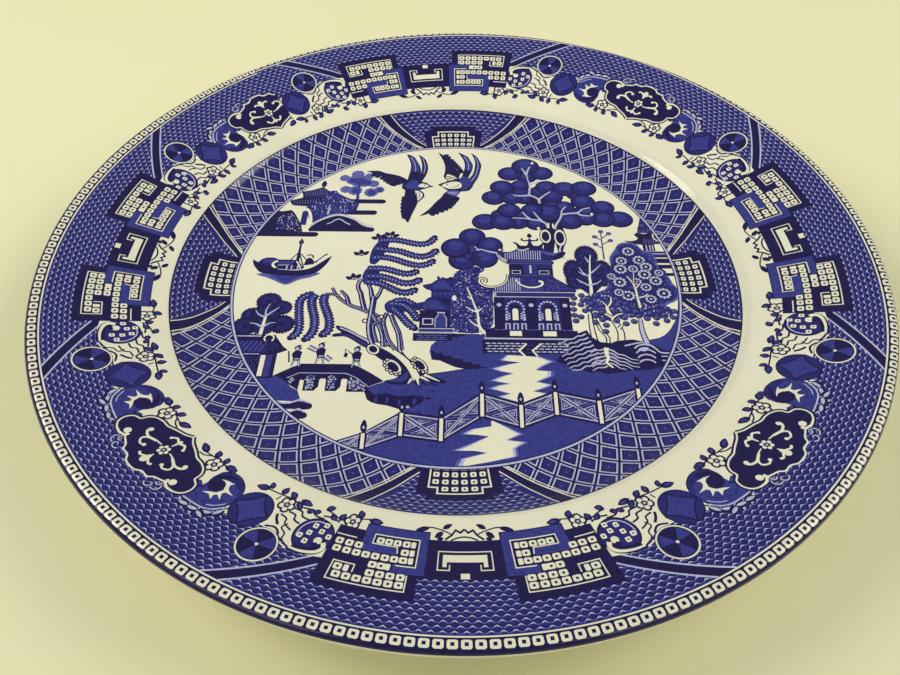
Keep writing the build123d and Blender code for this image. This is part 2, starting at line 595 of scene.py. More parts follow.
def coin(d):
    """The round boss with a curved square drawn in it."""
    x, y = rim_point(29.8, 104.3)
    d.disc(NAVY, x, y, 5.7, 30)
    d.disc(WASH, x, y, 5.3, 30)
    for quarter in range(4):
        t = math.radians(90 * quarter + 90)
        u = t + math.pi / 2
        a = (x + 5.3 * math.cos(t), y + 5.3 * math.sin(t))
        b = (x + 5.3 * math.cos(u), y + 5.3 * math.sin(u))
        m = (x + 3.2 * math.cos((t + u) / 2), y + 3.2 * math.sin((t + u) / 2))
        edge = arc(x, y, 5.3, math.degrees(u), math.degrees(t), 6)
        d.area(DEEP, smooth([a, m, b], steps=5) + edge[1:-1])
        d.stroke(NAVY, [a, m, b], 0.45, steps=5)


def volute(d):
    """The fat comma-shaped scroll beside the medallion, its flame and its crest."""
    body = smooth(rim([(38.4, 110.8), (35.4, 111.0), (33.4, 109.5), (32.6, 106.4), (32.4, 103.0),
            (33.3, 100.0), (35.0, 98.4), (36.8, 98.7), (37.8, 100.9), (38.4, 104.5)]), closed=True,
            steps=3)
    d.area(WASH, body)
    d.line(NAVY, body, 0.35, closed=True)
    d.area(BARE, rim([(37.7, 105.9), (38.4, 105.2), (39.2, 105.6), (39.3, 103.5), (38.5, 101.6),
            (37.7, 100.4), (37.9, 102.5), (37.6, 104.2)]))
    d.line(NAVY, rim([(37.4, 106.3), (38.7, 107.6)]), 0.5)
    d.shape(DEEP, rim([(37.2, 105.6), (37.8, 103.6), (37.7, 101.2), (36.8, 99.2), (35.2, 98.7),
            (33.7, 99.7), (32.9, 101.8), (34.6, 101.0), (36.0, 101.2), (36.8, 102.6)]))
    d.shape(NAVY, rim([(36.9, 105.6), (37.6, 103.6), (37.5, 101.2), (36.4, 99.5), (34.9, 99.2),
            (35.9, 100.4), (36.6, 101.6)]))
    for path in (
        [(33.2, 106.6), (34.0, 108.6), (35.6, 109.6)],
        [(33.4, 105.4), (34.3, 107.6), (35.8, 108.9)],
        [(32.9, 103.3), (33.2, 101.4), (34.2, 100.0)],
        [(36.4, 109.4), (37.6, 108.2)],
    ):
        d.stroke(DEEP, rim(path), 0.45, 0.2)
    d.area(BARE, rim([(36.7, 101.7), (35.8, 101.1), (34.6, 100.9), (35.0, 101.6), (34.8, 102.6),
            (34.3, 103.3), (33.2, 103.9), (34.5, 104.1), (34.7, 104.9), (34.1, 106.6), (35.0, 105.8),
            (35.3, 106.3), (35.1, 107.8), (35.9, 106.9), (36.9, 107.4), (36.2, 106.3), (35.4, 105.5),
            (35.0, 103.9), (35.4, 102.8)]))
    d.disc(NAVY, *rim_point(36.25, 103.9), 2.15, 18)
    for path, width in (
        ([(32.7, 107.6), (33.7, 109.8), (35.2, 110.9), (37.9, 111.2)], 0.42),
        ([(33.0, 106.6), (33.9, 108.6), (34.8, 109.5)], 0.26),
    ):
        d.stroke(HAZE, rim(path), width)
    for a, r, angle, length in (
        (32.4, 108.2, 62, 2.6), (33.2, 110.4, 28, 2.8), (33.6, 112.9, -18, 2.6),
        (35.0, 113.9, -42, 3.0), (36.3, 113.9, -30, 3.8), (34.9, 111.8, 15, 2.6),
        (36.3, 112.2, 12, 2.4),
    ):
        d.area(NAVY, leaf(*rim_point(a - 0.2, r), length + 1.0, 2.2, angle))
        d.area(HAZE, leaf(*rim_point(a, r), 1.15 * length, 0.95, angle))


def medallion(d):
    """Half of the lobed navy medallion with its white scrollwork."""
    edge = smooth([(46.25, 114.9), (45.3, 114.7), (44.5, 113.6), (43.4, 113.6), (42.8, 112.5),
            (41.9, 111.9), (41.2, 111.4)], steps=3)
    side = smooth([(40.9, 112.0), (39.7, 112.2), (38.5, 111.2), (38.0, 109.2), (38.3, 107.1),
            (39.2, 106.1), (39.3, 104.4), (39.9, 102.8), (41.1, 101.8), (42.3, 101.6), (43.5, 100.6),
            (45.2, 99.5), (46.25, 98.3)], steps=3)
    middle = [(47.0, 98.3), (47.0, 114.9)]
    d.area(NAVY, rim(edge + side + middle))
    d.line(NAVY, rim(side), 1.5)
    d.line(BARE, rim(edge), 0.48)
    d.line(BARE, rim(side), 0.48)
    d.stroke(BARE, rim([(39.2, 112.0), (40.4, 112.2), (41.2, 111.4), (41.1, 110.5)]), 0.5, 1.1, steps=4)
    d.disc(BARE, *rim_point(40.55, 110.3), 1.0, 12)
    for a, r, radius, start, end in (
        (41.4, 113.6, 1.3, 60, 250), (42.4, 114.3, 1.1, 20, 190), (41.6, 112.5, 0.8, 40, 210),
    ):
        d.line(NAVY, arc(*rim_point(a, r), radius, start, end, 8), 0.95)
        d.line(HAZE, arc(*rim_point(a, r), radius, start, end, 8), 0.36)
    for path, w0, w1 in (
        ([(45.2, 105.7), (44.0, 106.1), (42.8, 107.0), (41.9, 106.5), (41.6, 105.4)], 0.35, 0.9),
        ([(44.2, 106.1), (43.0, 107.2), (42.7, 108.6), (43.4, 109.6), (44.1, 109.1)], 0.7, 0.5),
        ([(46.25, 108.7), (46.25, 112.3)], 0.35, 0.9),
        ([(46.1, 110.2), (45.3, 111.2), (44.8, 110.8)], 0.5, 0.75),
        ([(46.25, 101.2), (46.25, 104.2)], 1.0, 0.3),
        ([(46.1, 102.2), (45.3, 101.6), (44.7, 102.6)], 0.7, 0.6),
        ([(46.25, 109.4), (45.9, 111.4), (46.25, 112.2)], 0.8, 0.3),
    ):
        d.stroke(BARE, rim(path), w0, w1, steps=4)
    d.disc(BARE, *rim_point(41.8, 105.4), 0.7, 10)
    d.disc(BARE, *rim_point(44.0, 109.1), 0.55, 10)
    d.disc(BARE, *rim_point(44.7, 102.7), 0.5, 8)
    blossom(d, RIM_SCALE * RIM_HALF, 106.2, 1.9, 6)


def leaf_blue(d, x, y, length, width, angle):
    """A rounded leaf: blue with a darker edge."""
    t = math.radians(angle)
    middle = (x + 0.55 * length * math.cos(t), y + 0.55 * length * math.sin(t))
    d.area(NAVY, leaf(x, y, length, width, angle))
    d.area(NAVY, turned(circle(0, 0, 0.4 * length, 12, width / length), *middle, angle))
    d.area(WASH, turned(circle(0, 0, 0.26 * length, 10, 0.9 * width / length), *middle, angle))


def rim_sprigs(d):
    """The flowers and leaves that hang from the border over the white shoulder."""
    for path in (
        [(17.5, 97.6), (16.2, 96.4), (14.6, 95.3), (13.2, 95.1)],
        [(24.3, 97.6), (26.2, 96.6), (28.2, 96.8), (30.4, 97.0)],
        [(28.0, 97.3), (28.2, 98.8)],
        [(37.4, 98.6), (39.4, 98.0), (41.5, 98.4), (43.2, 98.8)],
        [(41.3, 98.4), (42.2, 99.6), (43.2, 99.9)],
        [(18.0, 97.6), (19.6, 96.3), (20.8, 95.9)],
    ):
        d.stroke(NAVY, rim(path), 0.4)
    for a, r, length, width, angle in (
        (14.2, 95.4, 4.6, 1.6, 178), (15.2, 95.6, 3.0, 1.7, 300), (18.2, 97.9, 2.8, 1.6, 250),
        (20.9, 95.7, 2.9, 1.5, 205), (19.7, 96.6, 2.8, 1.4, 145), (21.2, 97.0, 2.4, 1.3, 20),
        (25.1, 95.7, 4.4, 1.5, 172), (25.3, 96.4, 3.4, 1.5, 140), (25.8, 96.2, 3.2, 1.5, 330),
        (28.1, 96.8, 2.9, 1.6, 268), (29.9, 96.6, 2.6, 1.3, 310), (30.1, 96.8, 4.4, 1.6, 12),
        (38.4, 98.3, 3.9, 1.7, 192), (38.7, 98.1, 2.6, 1.5, 300), (40.4, 97.9, 2.9, 1.6, 318),
        (42.2, 98.7, 4.6, 1.6, 340), (23.2, 98.6, 2.6, 1.3, 215), (36.9, 99.4, 2.4, 1.3, 250),
    ):
        leaf_blue(d, *rim_point(a, r), length, 1.35 * width, angle)
    blossom(d, *rim_point(16.3, 97.1), 2.2)
    blossom(d, *rim_point(26.3, 98.8), 2.2, turn=30)
    blossom(d, *rim_point(39.7, 99.9), 2.2, turn=10)


def rim_unit():
    """The whole rim unit, cut up and ready to be laid down."""
    d = Drawing()
    width = RIM_SCALE * RIM_HALF
    ground = [(-1, 109), (17, 109), (18, 108), (22.4, 109), (24.0, 107.2), (27, 107), (32, 109),
            (38, 106.2), (38.6, 104.5), (47.3, 104.5), (47.3, GROUND_TOP), (-1, GROUND_TOP)]
    d.area(DEEP, rim(ground))
    chevrons(d, 0, width, 39, 104.5, GROUND_TOP - 0.15, 15, lambda x, y: y > 109 or x > RIM_SCALE * 18)
    rim_bar(d)
    volute(d)
    coin(d)
    scroll_end(d)
    sectored_disc(d)
    rim_sprigs(d)
    key_fringe(d)
    fret_group(d)
    medallion(d)
    for a in (0, FRET_STOP, MEDALLION_START, RIM_HALF):
        d.cut(rim([(a, 91), (a, 125)]))
    d.grid(0, width, 3.2, 92, 125, 5)
    return d.cut_up(lambda x, y: (x > 0) & (x < width))


def bead_cell():
    """One white square of the edge band, with the dark line round the lip."""
    d = Drawing()
    width = RIM_SCALE * 360 / BEADS
    d.box(NAVY, 0, GROUND_TOP + 0.42, width, BAND_OUTER)
    cell(d, width / 2, GROUND_TOP + 1.85, 2.15, 2.0, 0.0)
    d.box(NAVY, width / 2 - 0.38, GROUND_TOP + 1.45, width / 2 + 0.38, GROUND_TOP + 2.25)
    d.grid(0, width, width / 2, GROUND_TOP, BAND_OUTER, 0.5)
    return d.cut_up()


def stray(angle):
    """How far out the rim border sits at an angle in degrees, counted on from the join."""
    knots = np.array(STRAY, float)
    return np.interp(angle, knots[:, 0], knots[:, 1])


def rim_place(centre, stretch):
    """A function that lays rim drawing points from a group's centre, stretched along the rim."""
    def place(x, y):
        angle = centre + x / RIM_SCALE * stretch
        return lay(y + stray(angle), np.radians(angle))
    return place


def part_of(by_tone, keep):
    """Only the triangles whose middle passes a test of x and y."""
    out = {}
    for tone, (points, triangles) in by_tone.items():
        middle = points[triangles].mean(1)
        out[tone] = (points, triangles[keep(middle[:, 0], middle[:, 1])])
    return out


def rim_border(materials):
    """Rim border: one strip of tissue from the join all the way round to the join."""
    unit = rim_unit()
    sheets = Sheets("rim")
    for here, there in zip(GROUP_ANGLES, GROUP_ANGLES[1:]):
        stretch = (there - here) / 2 / RIM_HALF
        sheets.add(unit, rim_place(here, stretch))
        sheets.add(unit, rim_place(there, -stretch))
    first, last = GROUP_ANGLES[0], GROUP_ANGLES[-1]
    sheets.add(unit, rim_place(first, -1.0))
    sheets.add(part_of(unit, lambda x, y: x > RIM_SCALE * MEDALLION_START),
            rim_place(first - 2 * RIM_HALF, 1.0))
    sheets.add(part_of(unit, lambda x, y: x < RIM_SCALE * FRET_STOP), rim_place(last, 1.0))
    bead = bead_cell()
    for k in range(BEADS):
        sheets.add(bead, rim_place(JOIN_ANGLE + 360 / BEADS * k, 1.0))
    return sheets.build(materials)


# =============================================================================
# well border
# =============================================================================

WELL_SCALE = 1.4                # millimetres of drawing for a degree
WELL_HALF = 45.0                # degrees in half a repeat
WELL_TURN = 1.4                 # the tissue is laid a little turned and off centre
WELL_OFFSET = (-1.2, -0.4)
SCENE_EDGE = 71.4               # radius that the scene is clipped to
RING_INNER = 71.75              # the pale ring between scene and border
RING_OUTER = 72.35
WELL_TOP = 89.4
WELL_START, WELL_STOP = 71.9, 89.6      # radii that the bars and panels are drawn between
TRELLIS_STEP = 4.86             # degrees between diamonds in a row
TRELLIS_RISE = 4.0              # millimetres between rows
TRELLIS_START = 71.2            # radius of the first row's middle


def well(points):
    """Drawing points from degrees and radius."""
    return [(WELL_SCALE * a, r) for a, r in points]


def trellis(d):
    """Diamonds edged in white, with dark lines between them and a dot in each."""
    half_w, half_h = WELL_SCALE * TRELLIS_STEP / 2, TRELLIS_RISE
    for row in range(6):
        y = TRELLIS_START + TRELLIS_RISE * row
        for k in range(9):
            x = WELL_SCALE * (WELL_HALF - TRELLIS_STEP * (k + 0.5 * (row % 2)))
            diamond = [(x, y - half_h), (x + half_w, y), (x, y + half_h), (x - half_w, y)]
            d.line(NAVY, diamond[:2], 0.5)
            d.line(NAVY, diamond[1:3], 0.5)
            inner = [(x + (px - x) * 0.8, y + (py - y) * 0.8) for px, py in diamond]
            d.line(HAZE, inner, 0.4, closed=True)
            core = [(x + (px - x) * 0.62, y + (py - y) * 0.62) for px, py in diamond]
            d.line(NAVY, core, 0.3, closed=True)
            d.disc(PALE, x, y, 0.26, 6)


def well_lens(d):
    """The scaled field round each panel and the curved bars that bound it."""
    inner = smooth([(6.3, WELL_START), (9.3, 75.5), (12.0, 80.2), (14.2, 84.5), (16.2, WELL_STOP)],
            steps=4)
    outer = smooth([(8.7, WELL_START), (11.4, 75.3), (14.3, 79.9), (16.8, 84.4), (19.0, WELL_STOP)],
            steps=4)
    d.area(DEEP, well([(-1, WELL_START)] + inner + [(-1, WELL_STOP)]))
    edge = np.array(well(inner))

    def inside(x, y):
        """Whether a place lies between the repeat's middle and the bar."""
        return x < np.interp(y, edge[:, 1], edge[:, 0]) - 0.9

    chevrons(d, 0, WELL_SCALE * 16.5, 10, 72.3, 89.3, 13, inside)
    d.area(NAVY, well(inner + outer[::-1]))
    d.line(BARE, well(inner), 0.35)
    d.line(BARE, well(outer), 0.4)
    d.line(BARE, well([(a + 0.75, r) for a, r in outer]), 0.3)


def well_panel(d):
    """The stepped panel of cells on its dark ground."""
    d.area(NAVY, well([(-1, WELL_START), (8.1, WELL_START), (8.1, 81.3), (6.1, 81.3), (6.1, 83.3),
            (-1, 83.3)]))
    d.line(BARE, well([(5.95, 72.3), (5.95, 78.6), (4.2, 78.6), (4.2, 80.7), (-1, 80.7)]), 0.5)
    for r, angles in ((79.0, (0.93, 2.8)), (76.6, (0.93, 2.8, 4.7)), (74.2, (0.93, 2.8, 4.7))):
        for a in angles:
            cell(d, WELL_SCALE * a, r, 1.8, 1.55, 0.55)
    for a in (0.93, 2.8, 4.7):
        d.box(BARE, WELL_SCALE * a - 0.9, 72.35, WELL_SCALE * a + 0.9, 72.75)


def well_unit():
    """Half of one repeat of the well border, cut up and ready to be laid down."""
    d = Drawing()
    width = WELL_SCALE * WELL_HALF
    d.box(DEEP, -1, RING_OUTER, width + 1, WELL_TOP)
    trellis(d)
    well_lens(d)
    well_panel(d)
    d.box(NAVY, -1, WELL_TOP - 0.35, width + 1, WELL_TOP)
    d.box(NAVY, -1, RING_OUTER, width + 1, RING_OUTER + 0.3)
    d.box(HAZE, -1, RING_INNER, width + 1, RING_OUTER)
    d.box(NAVY, -1, SCENE_EDGE, width + 1, RING_INNER)
    d.box(BARE, -1, 65, width + 1, SCENE_EDGE)
    d.box(BARE, -1, WELL_TOP, width + 1, 97)
    d.grid(0, width, 3.0, 71, 90, 1.5)
    return d.cut_up(lambda x, y: (x > 0) & (x < width))


def well_place(turn, side):
    """A function that lays well drawing points, turned to one of the repeats."""
    def place(x, y):
        angle = np.radians(turn + WELL_TURN + side * x / WELL_SCALE)
        px = WELL_OFFSET[0] + y * np.cos(angle)
        py = WELL_OFFSET[1] + y * np.sin(angle)
        return lay(np.hypot(px, py), np.arctan2(py, px))
    return place


def well_border(materials):
    """Well border: four repeats, each drawn as a half and its mirror image."""
    unit = well_unit()
    sheets = Sheets("well")
    for turn in (0, 90, 180, 270):
        sheets.add(unit, well_place(turn, 1))
        sheets.add(unit, well_place(turn, -1))
    return sheets.build(materials)


# =============================================================================
# the scene in the well
# =============================================================================
# Points are millimetres from the plate's centre, x to the right and y away.

def inside_of(outline):
    """A test of whether a point lies inside an outline."""
    def test(x, y):
        found = False
        for (ax, ay), (bx, by) in zip(outline, outline[1:] + outline[:1]):
            if (ay > y) != (by > y) and x < ax + (bx - ax) * (y - ay) / (by - ay):
                found = not found
        return found
    return test


def flecks(d, outline, tones, spacing=1.2, size=0.8, lean=0.0, width=0.34, wander=35):
    """Short marks scattered evenly inside an outline."""
    inside = inside_of(outline)
    left, right = min(p[0] for p in outline), max(p[0] for p in outline)
    y, row = min(p[1] for p in outline), 0
    while y < max(p[1] for p in outline):
        x = left + spacing * (row % 2) / 2
        while x < right:
            px = x + random.uniform(-0.22, 0.22) * spacing
            py = y + random.uniform(-0.22, 0.22) * spacing
            if inside(px, py):
                t = math.radians(lean + random.uniform(-wander, wander))
                dx, dy = size * math.cos(t) / 2, size * math.sin(t) / 2
                d.line(random.choice(tones), [(px - dx, py - dy), (px + dx, py + dy)], width)
            x += spacing
        y += 0.8 * spacing
        row += 1


def branch(d, points, width, end_width=None, core=BARE, edge=0.4, shade=None):
    """A pale branch with a dark line on both sides, and a shaded right side if asked."""
    end_width = width if end_width is None else end_width
    path = smooth(points, steps=3)
    d.line(NAVY, path, width + 2 * edge, end_width + 1.6 * edge)
    d.line(core, path, width, end_width)
    if shade:
        d.line(shade, [(x + 0.22 * width, y - 0.1 * width) for x, y in path], 0.56 * width,
                0.56 * end_width)


def veins(d, paths, width=0.75, end_width=0.25, tone=BARE):
    """Pale branches drawn straight on dark foliage."""
    for points in paths:
        d.stroke(tone, points, width, end_width)


def lobe(d, x, y, radius, squash=1.0, turn=90):
    """A round mass of leaves, lit from one side: three tones one inside another."""
    up = math.radians(turn)
    for tone, size, shift in ((NAVY, 1.06, 0.0), (DEEP, 0.9, 0.06), (WASH, 0.5, 0.24)):
        d.disc(tone, x + shift * radius * math.cos(up), y + shift * radius * math.sin(up),
                size * radius, 26, squash)


def frond(d, points, width=2.6):
    """A drooping willow frond: dark beads down both edges, pale marks down the middle."""
    path = smooth(points, steps=12)
    width = 1.12 * width
    d.line(NAVY, path, 0.9 * width, 0.74 * width)
    d.disc(NAVY, *path[-1], 0.4 * width, 10)
    d.line(WASH, path, 0.76 * width, 0.58 * width)
    travelled = 0.0
    for (ax, ay), (bx, by) in zip(path, path[1:]):
        length = math.hypot(bx - ax, by - ay)
        travelled += length
        if travelled < 1.0:
            continue
        travelled = 0.0
        tx, ty = (bx - ax) / length, (by - ay) / length
        for side in (-0.4, 0.4):
            d.disc(NAVY, bx - ty * side * width, by + tx * side * width, 0.46, 8)
        d.line(HAZE, [(bx - 0.22 * ty, by + 0.22 * tx), (bx + 0.22 * ty, by - 0.22 * tx)], 0.32)


def bud(d, x, y, angle):
    """Three dark leaves fanned out from a stalk's end."""
    for spread in (-55, -5, 45):
        t = math.radians(angle + spread)
        d.area(NAVY, leaf(x + 0.7 * math.cos(t), y + 0.7 * math.sin(t), 2.7, 1.7, angle + spread))
        d.line(NAVY, [(x, y), (x + math.cos(t), y + math.sin(t))], 0.3)


def bricks(d, x0, x1, rows, tone=HAZE, long=1.35, gap=0.45, height=0.42):
    """Courses of bricks drawn as dashes, staggered from row to row."""
    for k, y in enumerate(rows):
        x = x0 + (0.6 if k % 2 else 0.0)
        while x < x1 - 0.3:
            d.box(tone, x, y - height / 2, min(x + long, x1), y + height / 2)
            x += long + gap


def stripes(d, x0, x1, step, low, high, tone=HAZE, width=0.28):
    """Upright stripes between two curves, each given as points from left to right."""
    low, high = np.array(low, float), np.array(high, float)
    x = x0
    while x < x1:
        bottom = np.interp(x, low[:, 0], low[:, 1])
        top = np.interp(x, high[:, 0], high[:, 1])
        if top - bottom > 0.5:
            d.line(tone, [(x, bottom), (x, top)], width)
        x += step


def bar(d, tone, x0, x1, y0, y1):
    """A level bar whose right end is round."""
    half = (y1 - y0) / 2
    d.area(tone, [(x0, y1), (x0, y0)] + arc(x1 - half, y0 + half, half, -90, 90, 8))


# ---- water, banks and fence -------------------------------------------------

def water(d):
    """The near water with its jagged reflections, the hill and the banks."""
    shore = [(-31.8, -80), (-31.8, -64.8), (-26, -62), (-15.6, -54.4), (-16.5, -53.5), (-20, -52.3),
            (-23, -51.8), (-26, -50), (-26.8, -46.4), (-25, -45.3), (-21, -43.6), (-16, -42),
            (-12, -42.6), (-9, -40.8), (-4, -40.0), (-0.5, -39.2), (2.2, -38.7), (0.4, -38.4),
            (-1, -38), (-3, -37), (-5.5, -35.6), (-8, -35.3), (-8.7, -32), (-8.4, -29.8), (-7.2, -28.3),
            (-4.5, -27.2), (-1, -26.2), (3, -25), (8, -24.8), (8, -32.5), (30, -32), (56, -30),
            (58, -26.4), (61, -25.6), (63, -24.3), (65, -22), (67, -18.5), (68.6, -14), (69.6, -9),
            (71, -4), (80, -4), (80, -80)]
    d.area(WASH, shore)
    d.line(NAVY, shore[13:17], 0.3)
    d.area(NAVY, [(-8.2, -31.6), (-6.5, -32.8), (-5.2, -32.6), (-4, -33.8), (-2.4, -33.6),
            (-1.2, -34.8), (0.6, -34.8), (1.5, -36), (3.4, -36), (4.4, -37), (6, -36.9), (6.6, -37.8),
            (8.8, -37.9), (5.8, -38.6), (2.2, -38.7), (0.4, -38.4), (-1, -38), (-3, -37), (-5.5, -35.6),
            (-8, -35.3)])
    d.shape(NAVY, [(-26.9, -45.9), (-23.8, -48.6), (-20.5, -47.9), (-17, -49.0), (-13, -48.6),
            (-9, -49.3), (-6.4, -49.3), (-9.5, -50.4), (-10.8, -51.6), (-12.8, -52.6), (-15, -53.5),
            (-17, -53.4), (-20, -52.3), (-23, -51.8), (-26, -50.2)], 2)
    for x, y in ((-23.5, -50.3), (-20.3, -50.6), (-16.8, -51.2), (-12.6, -50.8), (-9.6, -50.4)):
        d.area(WASH, leaf(x, y - 1.3, 2.8, 0.9, 85))
    for x, y in ((-15.4, -52.6), (-14.2, -52.7)):
        d.disc(HAZE, x, y, 0.5, 8)
    far_glint = [(14.8, -33.2), (19, -33.4), (23.6, -33.8), (26.9, -35.5), (24.2, -37.2), (22.4, -38.8),
            (26.4, -39.2), (26.2, -41), (22.4, -43.1), (26.2, -44.2), (24, -45.4), (21.4, -46.6),
            (25, -47.4), (22, -49.4), (19.5, -51.2), (15, -49.7), (12.2, -48.7), (15.2, -47.6),
            (10.2, -45.8), (12.5, -44.6), (15.2, -44), (10.6, -42.9), (13.5, -41.2), (16.2, -40.2),
            (13, -39.4), (10.9, -38.4), (15, -36.8), (18.3, -36), (13.2, -35.2)]
    near_glint = [(9.3, -56.8), (13, -59), (14.3, -59.9), (16.6, -61.4), (13.2, -63.4), (17.6, -64),
            (15, -66), (15.2, -68.6), (9, -70.3), (1, -72), (2, -69.6), (8, -67.6), (5, -67),
            (0.2, -67), (3.5, -65.3), (6, -63.8), (8.6, -62.3), (5.5, -61.8), (2.3, -61.6), (4.5, -60),
            (9.3, -58.9)]
    for outline, middle in ((far_glint, 18.8), (near_glint, 9.6)):
        for tone, grow in ((PALE, 1.22), (HAZE, 1.1), (BARE, 0.97)):
            d.area(tone, [(middle + (x - middle) * grow, y) for x, y in outline])


FENCE = (                       # x, top and bottom of each post, left to right
    (-36.5, -66.0, -71.5), (-26.0, -61.8, -66.8), (-15.8, -54.8, -62.5), (-4.6, -56.5, -64.0),
    (6.8, -47.7, -55.6), (17.8, -51.5, -59.2), (27.8, -46.8, -54.7), (40.0, -49.7, -57.5),
    (51.6, -45.2, -52.8),
)


def fence_panel(d, left, right):
    """One panel: rails, two crossing diagonals and nested triangles between them."""
    (x0, top0, low0), (x1, top1, low1) = left, right

    def at(points):
        """Places in the panel: u runs from post to post, v from its foot up."""
        out = []
        for u, v in points:
            low = low0 + (low1 - low0) * u
            top = top0 + (top1 - top0) * u
            out.append((x0 + (x1 - x0) * u, low + (top - low) * v))
        return out

    d.area(NAVY, at([(0, -0.07), (1, -0.07), (1, 1.08), (0, 1.08)]))
    d.area(DEEP, at([(0.06, 0.13), (0.94, 0.13), (0.94, 0.87), (0.06, 0.87)]))
    rising = top1 > top0
    for near, far, middle in (
        ((0.1, 0.18), (0.1, 0.82), (0.42, 0.5)),
        ((0.9, 0.18), (0.9, 0.82), (0.58, 0.5)),
        ((0.16, 0.14), (0.84, 0.14), (0.5, 0.42)),
        ((0.16, 0.86), (0.84, 0.86), (0.5, 0.58)),
    ):
        centre = [(near[k] + far[k] + middle[k]) / 3 for k in (0, 1)]
        for scale in (0.74, 0.26):
            ring = [(centre[0] + (p[0] - centre[0]) * scale, centre[1] + (p[1] - centre[1]) * scale)
                    for p in (near, far, middle)]
            d.line(HAZE, at(ring), 0.3, closed=True)
    d.line(NAVY, at([(0.06, 0.1), (0.94, 0.9)] if rising else [(0.06, 0.9), (0.94, 0.1)]), 1.15)
    d.line(NAVY, at([(0.06, 0.9), (0.94, 0.1)] if rising else [(0.06, 0.1), (0.94, 0.9)]), 0.7)
    d.line(HAZE, at([(0.07, 0.17), (0.9, 0.93)] if rising else [(0.1, 0.93), (0.93, 0.17)]), 0.3)
    d.line(HAZE, at([(0.1, 0.07), (0.93, 0.83)] if rising else [(0.07, 0.83), (0.9, 0.07)]), 0.3)
    d.line(PALE, at([(0.08, 0.9), (0.92, 0.1)] if rising else [(0.08, 0.1), (0.92, 0.9)]), 0.26)
    d.line(HAZE, at([(0.05, 0.94), (0.95, 0.94)]), 0.42)
    d.line(HAZE, at([(0.05, 0.06), (0.95, 0.06)]), 0.42)


def fence(d):
    """The zigzag fence across the foreground."""
    for left, right in zip(FENCE, FENCE[1:]):
        fence_panel(d, left, right)
    for x, top, low in FENCE[1:]:
        d.box(NAVY, x - 1.0, low - 0.6, x + 1.0, top + 0.3)
        d.box(BARE, x - 0.52, low, x + 0.52, top)
        d.disc(NAVY, x, top + 2.1, 0.95, 12, 1.9)
        d.area(NAVY, leaf(x, top + 2.6, 2.0, 1.3, 90))
        d.disc(HAZE, x, top + 2.0, 0.34, 8, 1.6)


def left_bank(d):
    """The bank at the left, with two dark lobes in the water."""
    d.area(WASH, [(-60, -41.5), (-56, -42), (-53.8, -42), (-50.5, -43.4), (-48.2, -46.2),
            (-46.2, -47.3), (-45, -50.3), (-47, -51.2), (-52, -51), (-60, -51)])
    for y, x1 in ((-52.6, -41.2), (-55.8, -42.2)):
        lump = smooth([(-55, y - 1.2), (-52, y + 0.9), (-48, y + 0.5), (-45.3, y + 1.5),
                (x1 - 0.6, y + 0.7), (x1, y - 0.5), (x1 - 1.2, y - 1.4), (-47, y - 1.3)], closed=True,
                steps=3)
        d.area(NAVY, lump)
        d.stroke(HAZE, [(-52.5, y + 1.7), (-49.5, y + 0.7), (-46.5, y + 1.3), (-44.8, y + 1.9),
                (x1 - 1, y + 0.9)], 0.5)


# ---- bridge, walkers, house and dark tree -----------------------------------

def bridge(d):
    """Three arches between pebbled piers, under a dark deck."""
    d.area(NAVY, [(-52, -42.6), (-47, -40.2), (-32.6, -40.2), (-28.8, -42), (-25.5, -45.4),
            (-26.4, -47.6), (-32.2, -47.6), (-32.2, -43.4), (-32.6, -42.9), (-33.6, -42.9),
            (-34, -43.4), (-34, -45.8), (-35.2, -47.4), (-38.4, -47.4), (-38.4, -43.4), (-38.8, -42.9),
            (-40, -42.9), (-40.4, -43.4), (-40.4, -45.8), (-41.6, -47.4), (-44.8, -47.4),
            (-44.8, -43.6), (-46, -43.4), (-46.2, -47.2), (-48, -46)])
    for outline in (
        [(-49.6, -43.6), (-48, -42.6), (-47.7, -44.4), (-48.6, -44.6)],
        [(-44.4, -41.6), (-42, -41.6), (-41.7, -43.4), (-41.7, -45.6), (-42.3, -46.9), (-44.4, -46.9)],
        [(-38, -41.6), (-35.9, -41.6), (-35.5, -43.4), (-35.5, -45.6), (-36, -46.9), (-38, -46.9)],
        [(-31.8, -42.4), (-30, -42.6), (-26.8, -45.8), (-27, -47), (-31.8, -47)],
    ):
        flecks(d, outline, (HAZE, HAZE, PALE), 0.78, 0.5, width=0.46)
    d.line(HAZE, [(-49.9, -42.8), (-46.6, -40.9), (-32.9, -40.9), (-29.8, -42.4), (-25.8, -45.8)], 0.24)
    d.area(NAVY, [(-54, -42), (-49.2, -38.9), (-46.4, -37.4), (-31.3, -37.4), (-28.8, -38.6),
            (-25, -41.1), (-21.6, -43.6), (-25.5, -45.4), (-29, -42), (-32.6, -40.2), (-47, -40.2),
            (-51.6, -43)])


def walker(d, x, y):
    """A tiny figure in a dark coat and pale skirt, with a bent cap."""
    for side in (-1, 1):
        d.line(NAVY, [(x + 0.5 * side, y - 1.8), (x + 1.2 * side, y - 4.6)], 0.95, 0.5)
        d.line(HAZE, [(x + 0.5 * side, y - 1.8), (x + 1.2 * side, y - 4.6)], 0.55, 0.25)
    d.area(NAVY, [(x - 0.9, y - 2.4), (x + 1.0, y - 2.4), (x + 1.4, y + 0.9), (x + 0.6, y + 1.5),
            (x - 0.8, y + 1.4), (x - 1.6, y + 0.3)])
    d.line(HAZE, [(x - 0.6, y - 1.7), (x + 0.8, y - 1.7)], 0.4)
    d.disc(NAVY, x - 0.1, y + 2.4, 1.05, 10)
    d.disc(HAZE, x - 0.2, y + 2.2, 0.65, 8)
    d.stroke(NAVY, [(x - 1.0, y + 2.7), (x, y + 3.5), (x + 0.9, y + 3.5)], 0.35)


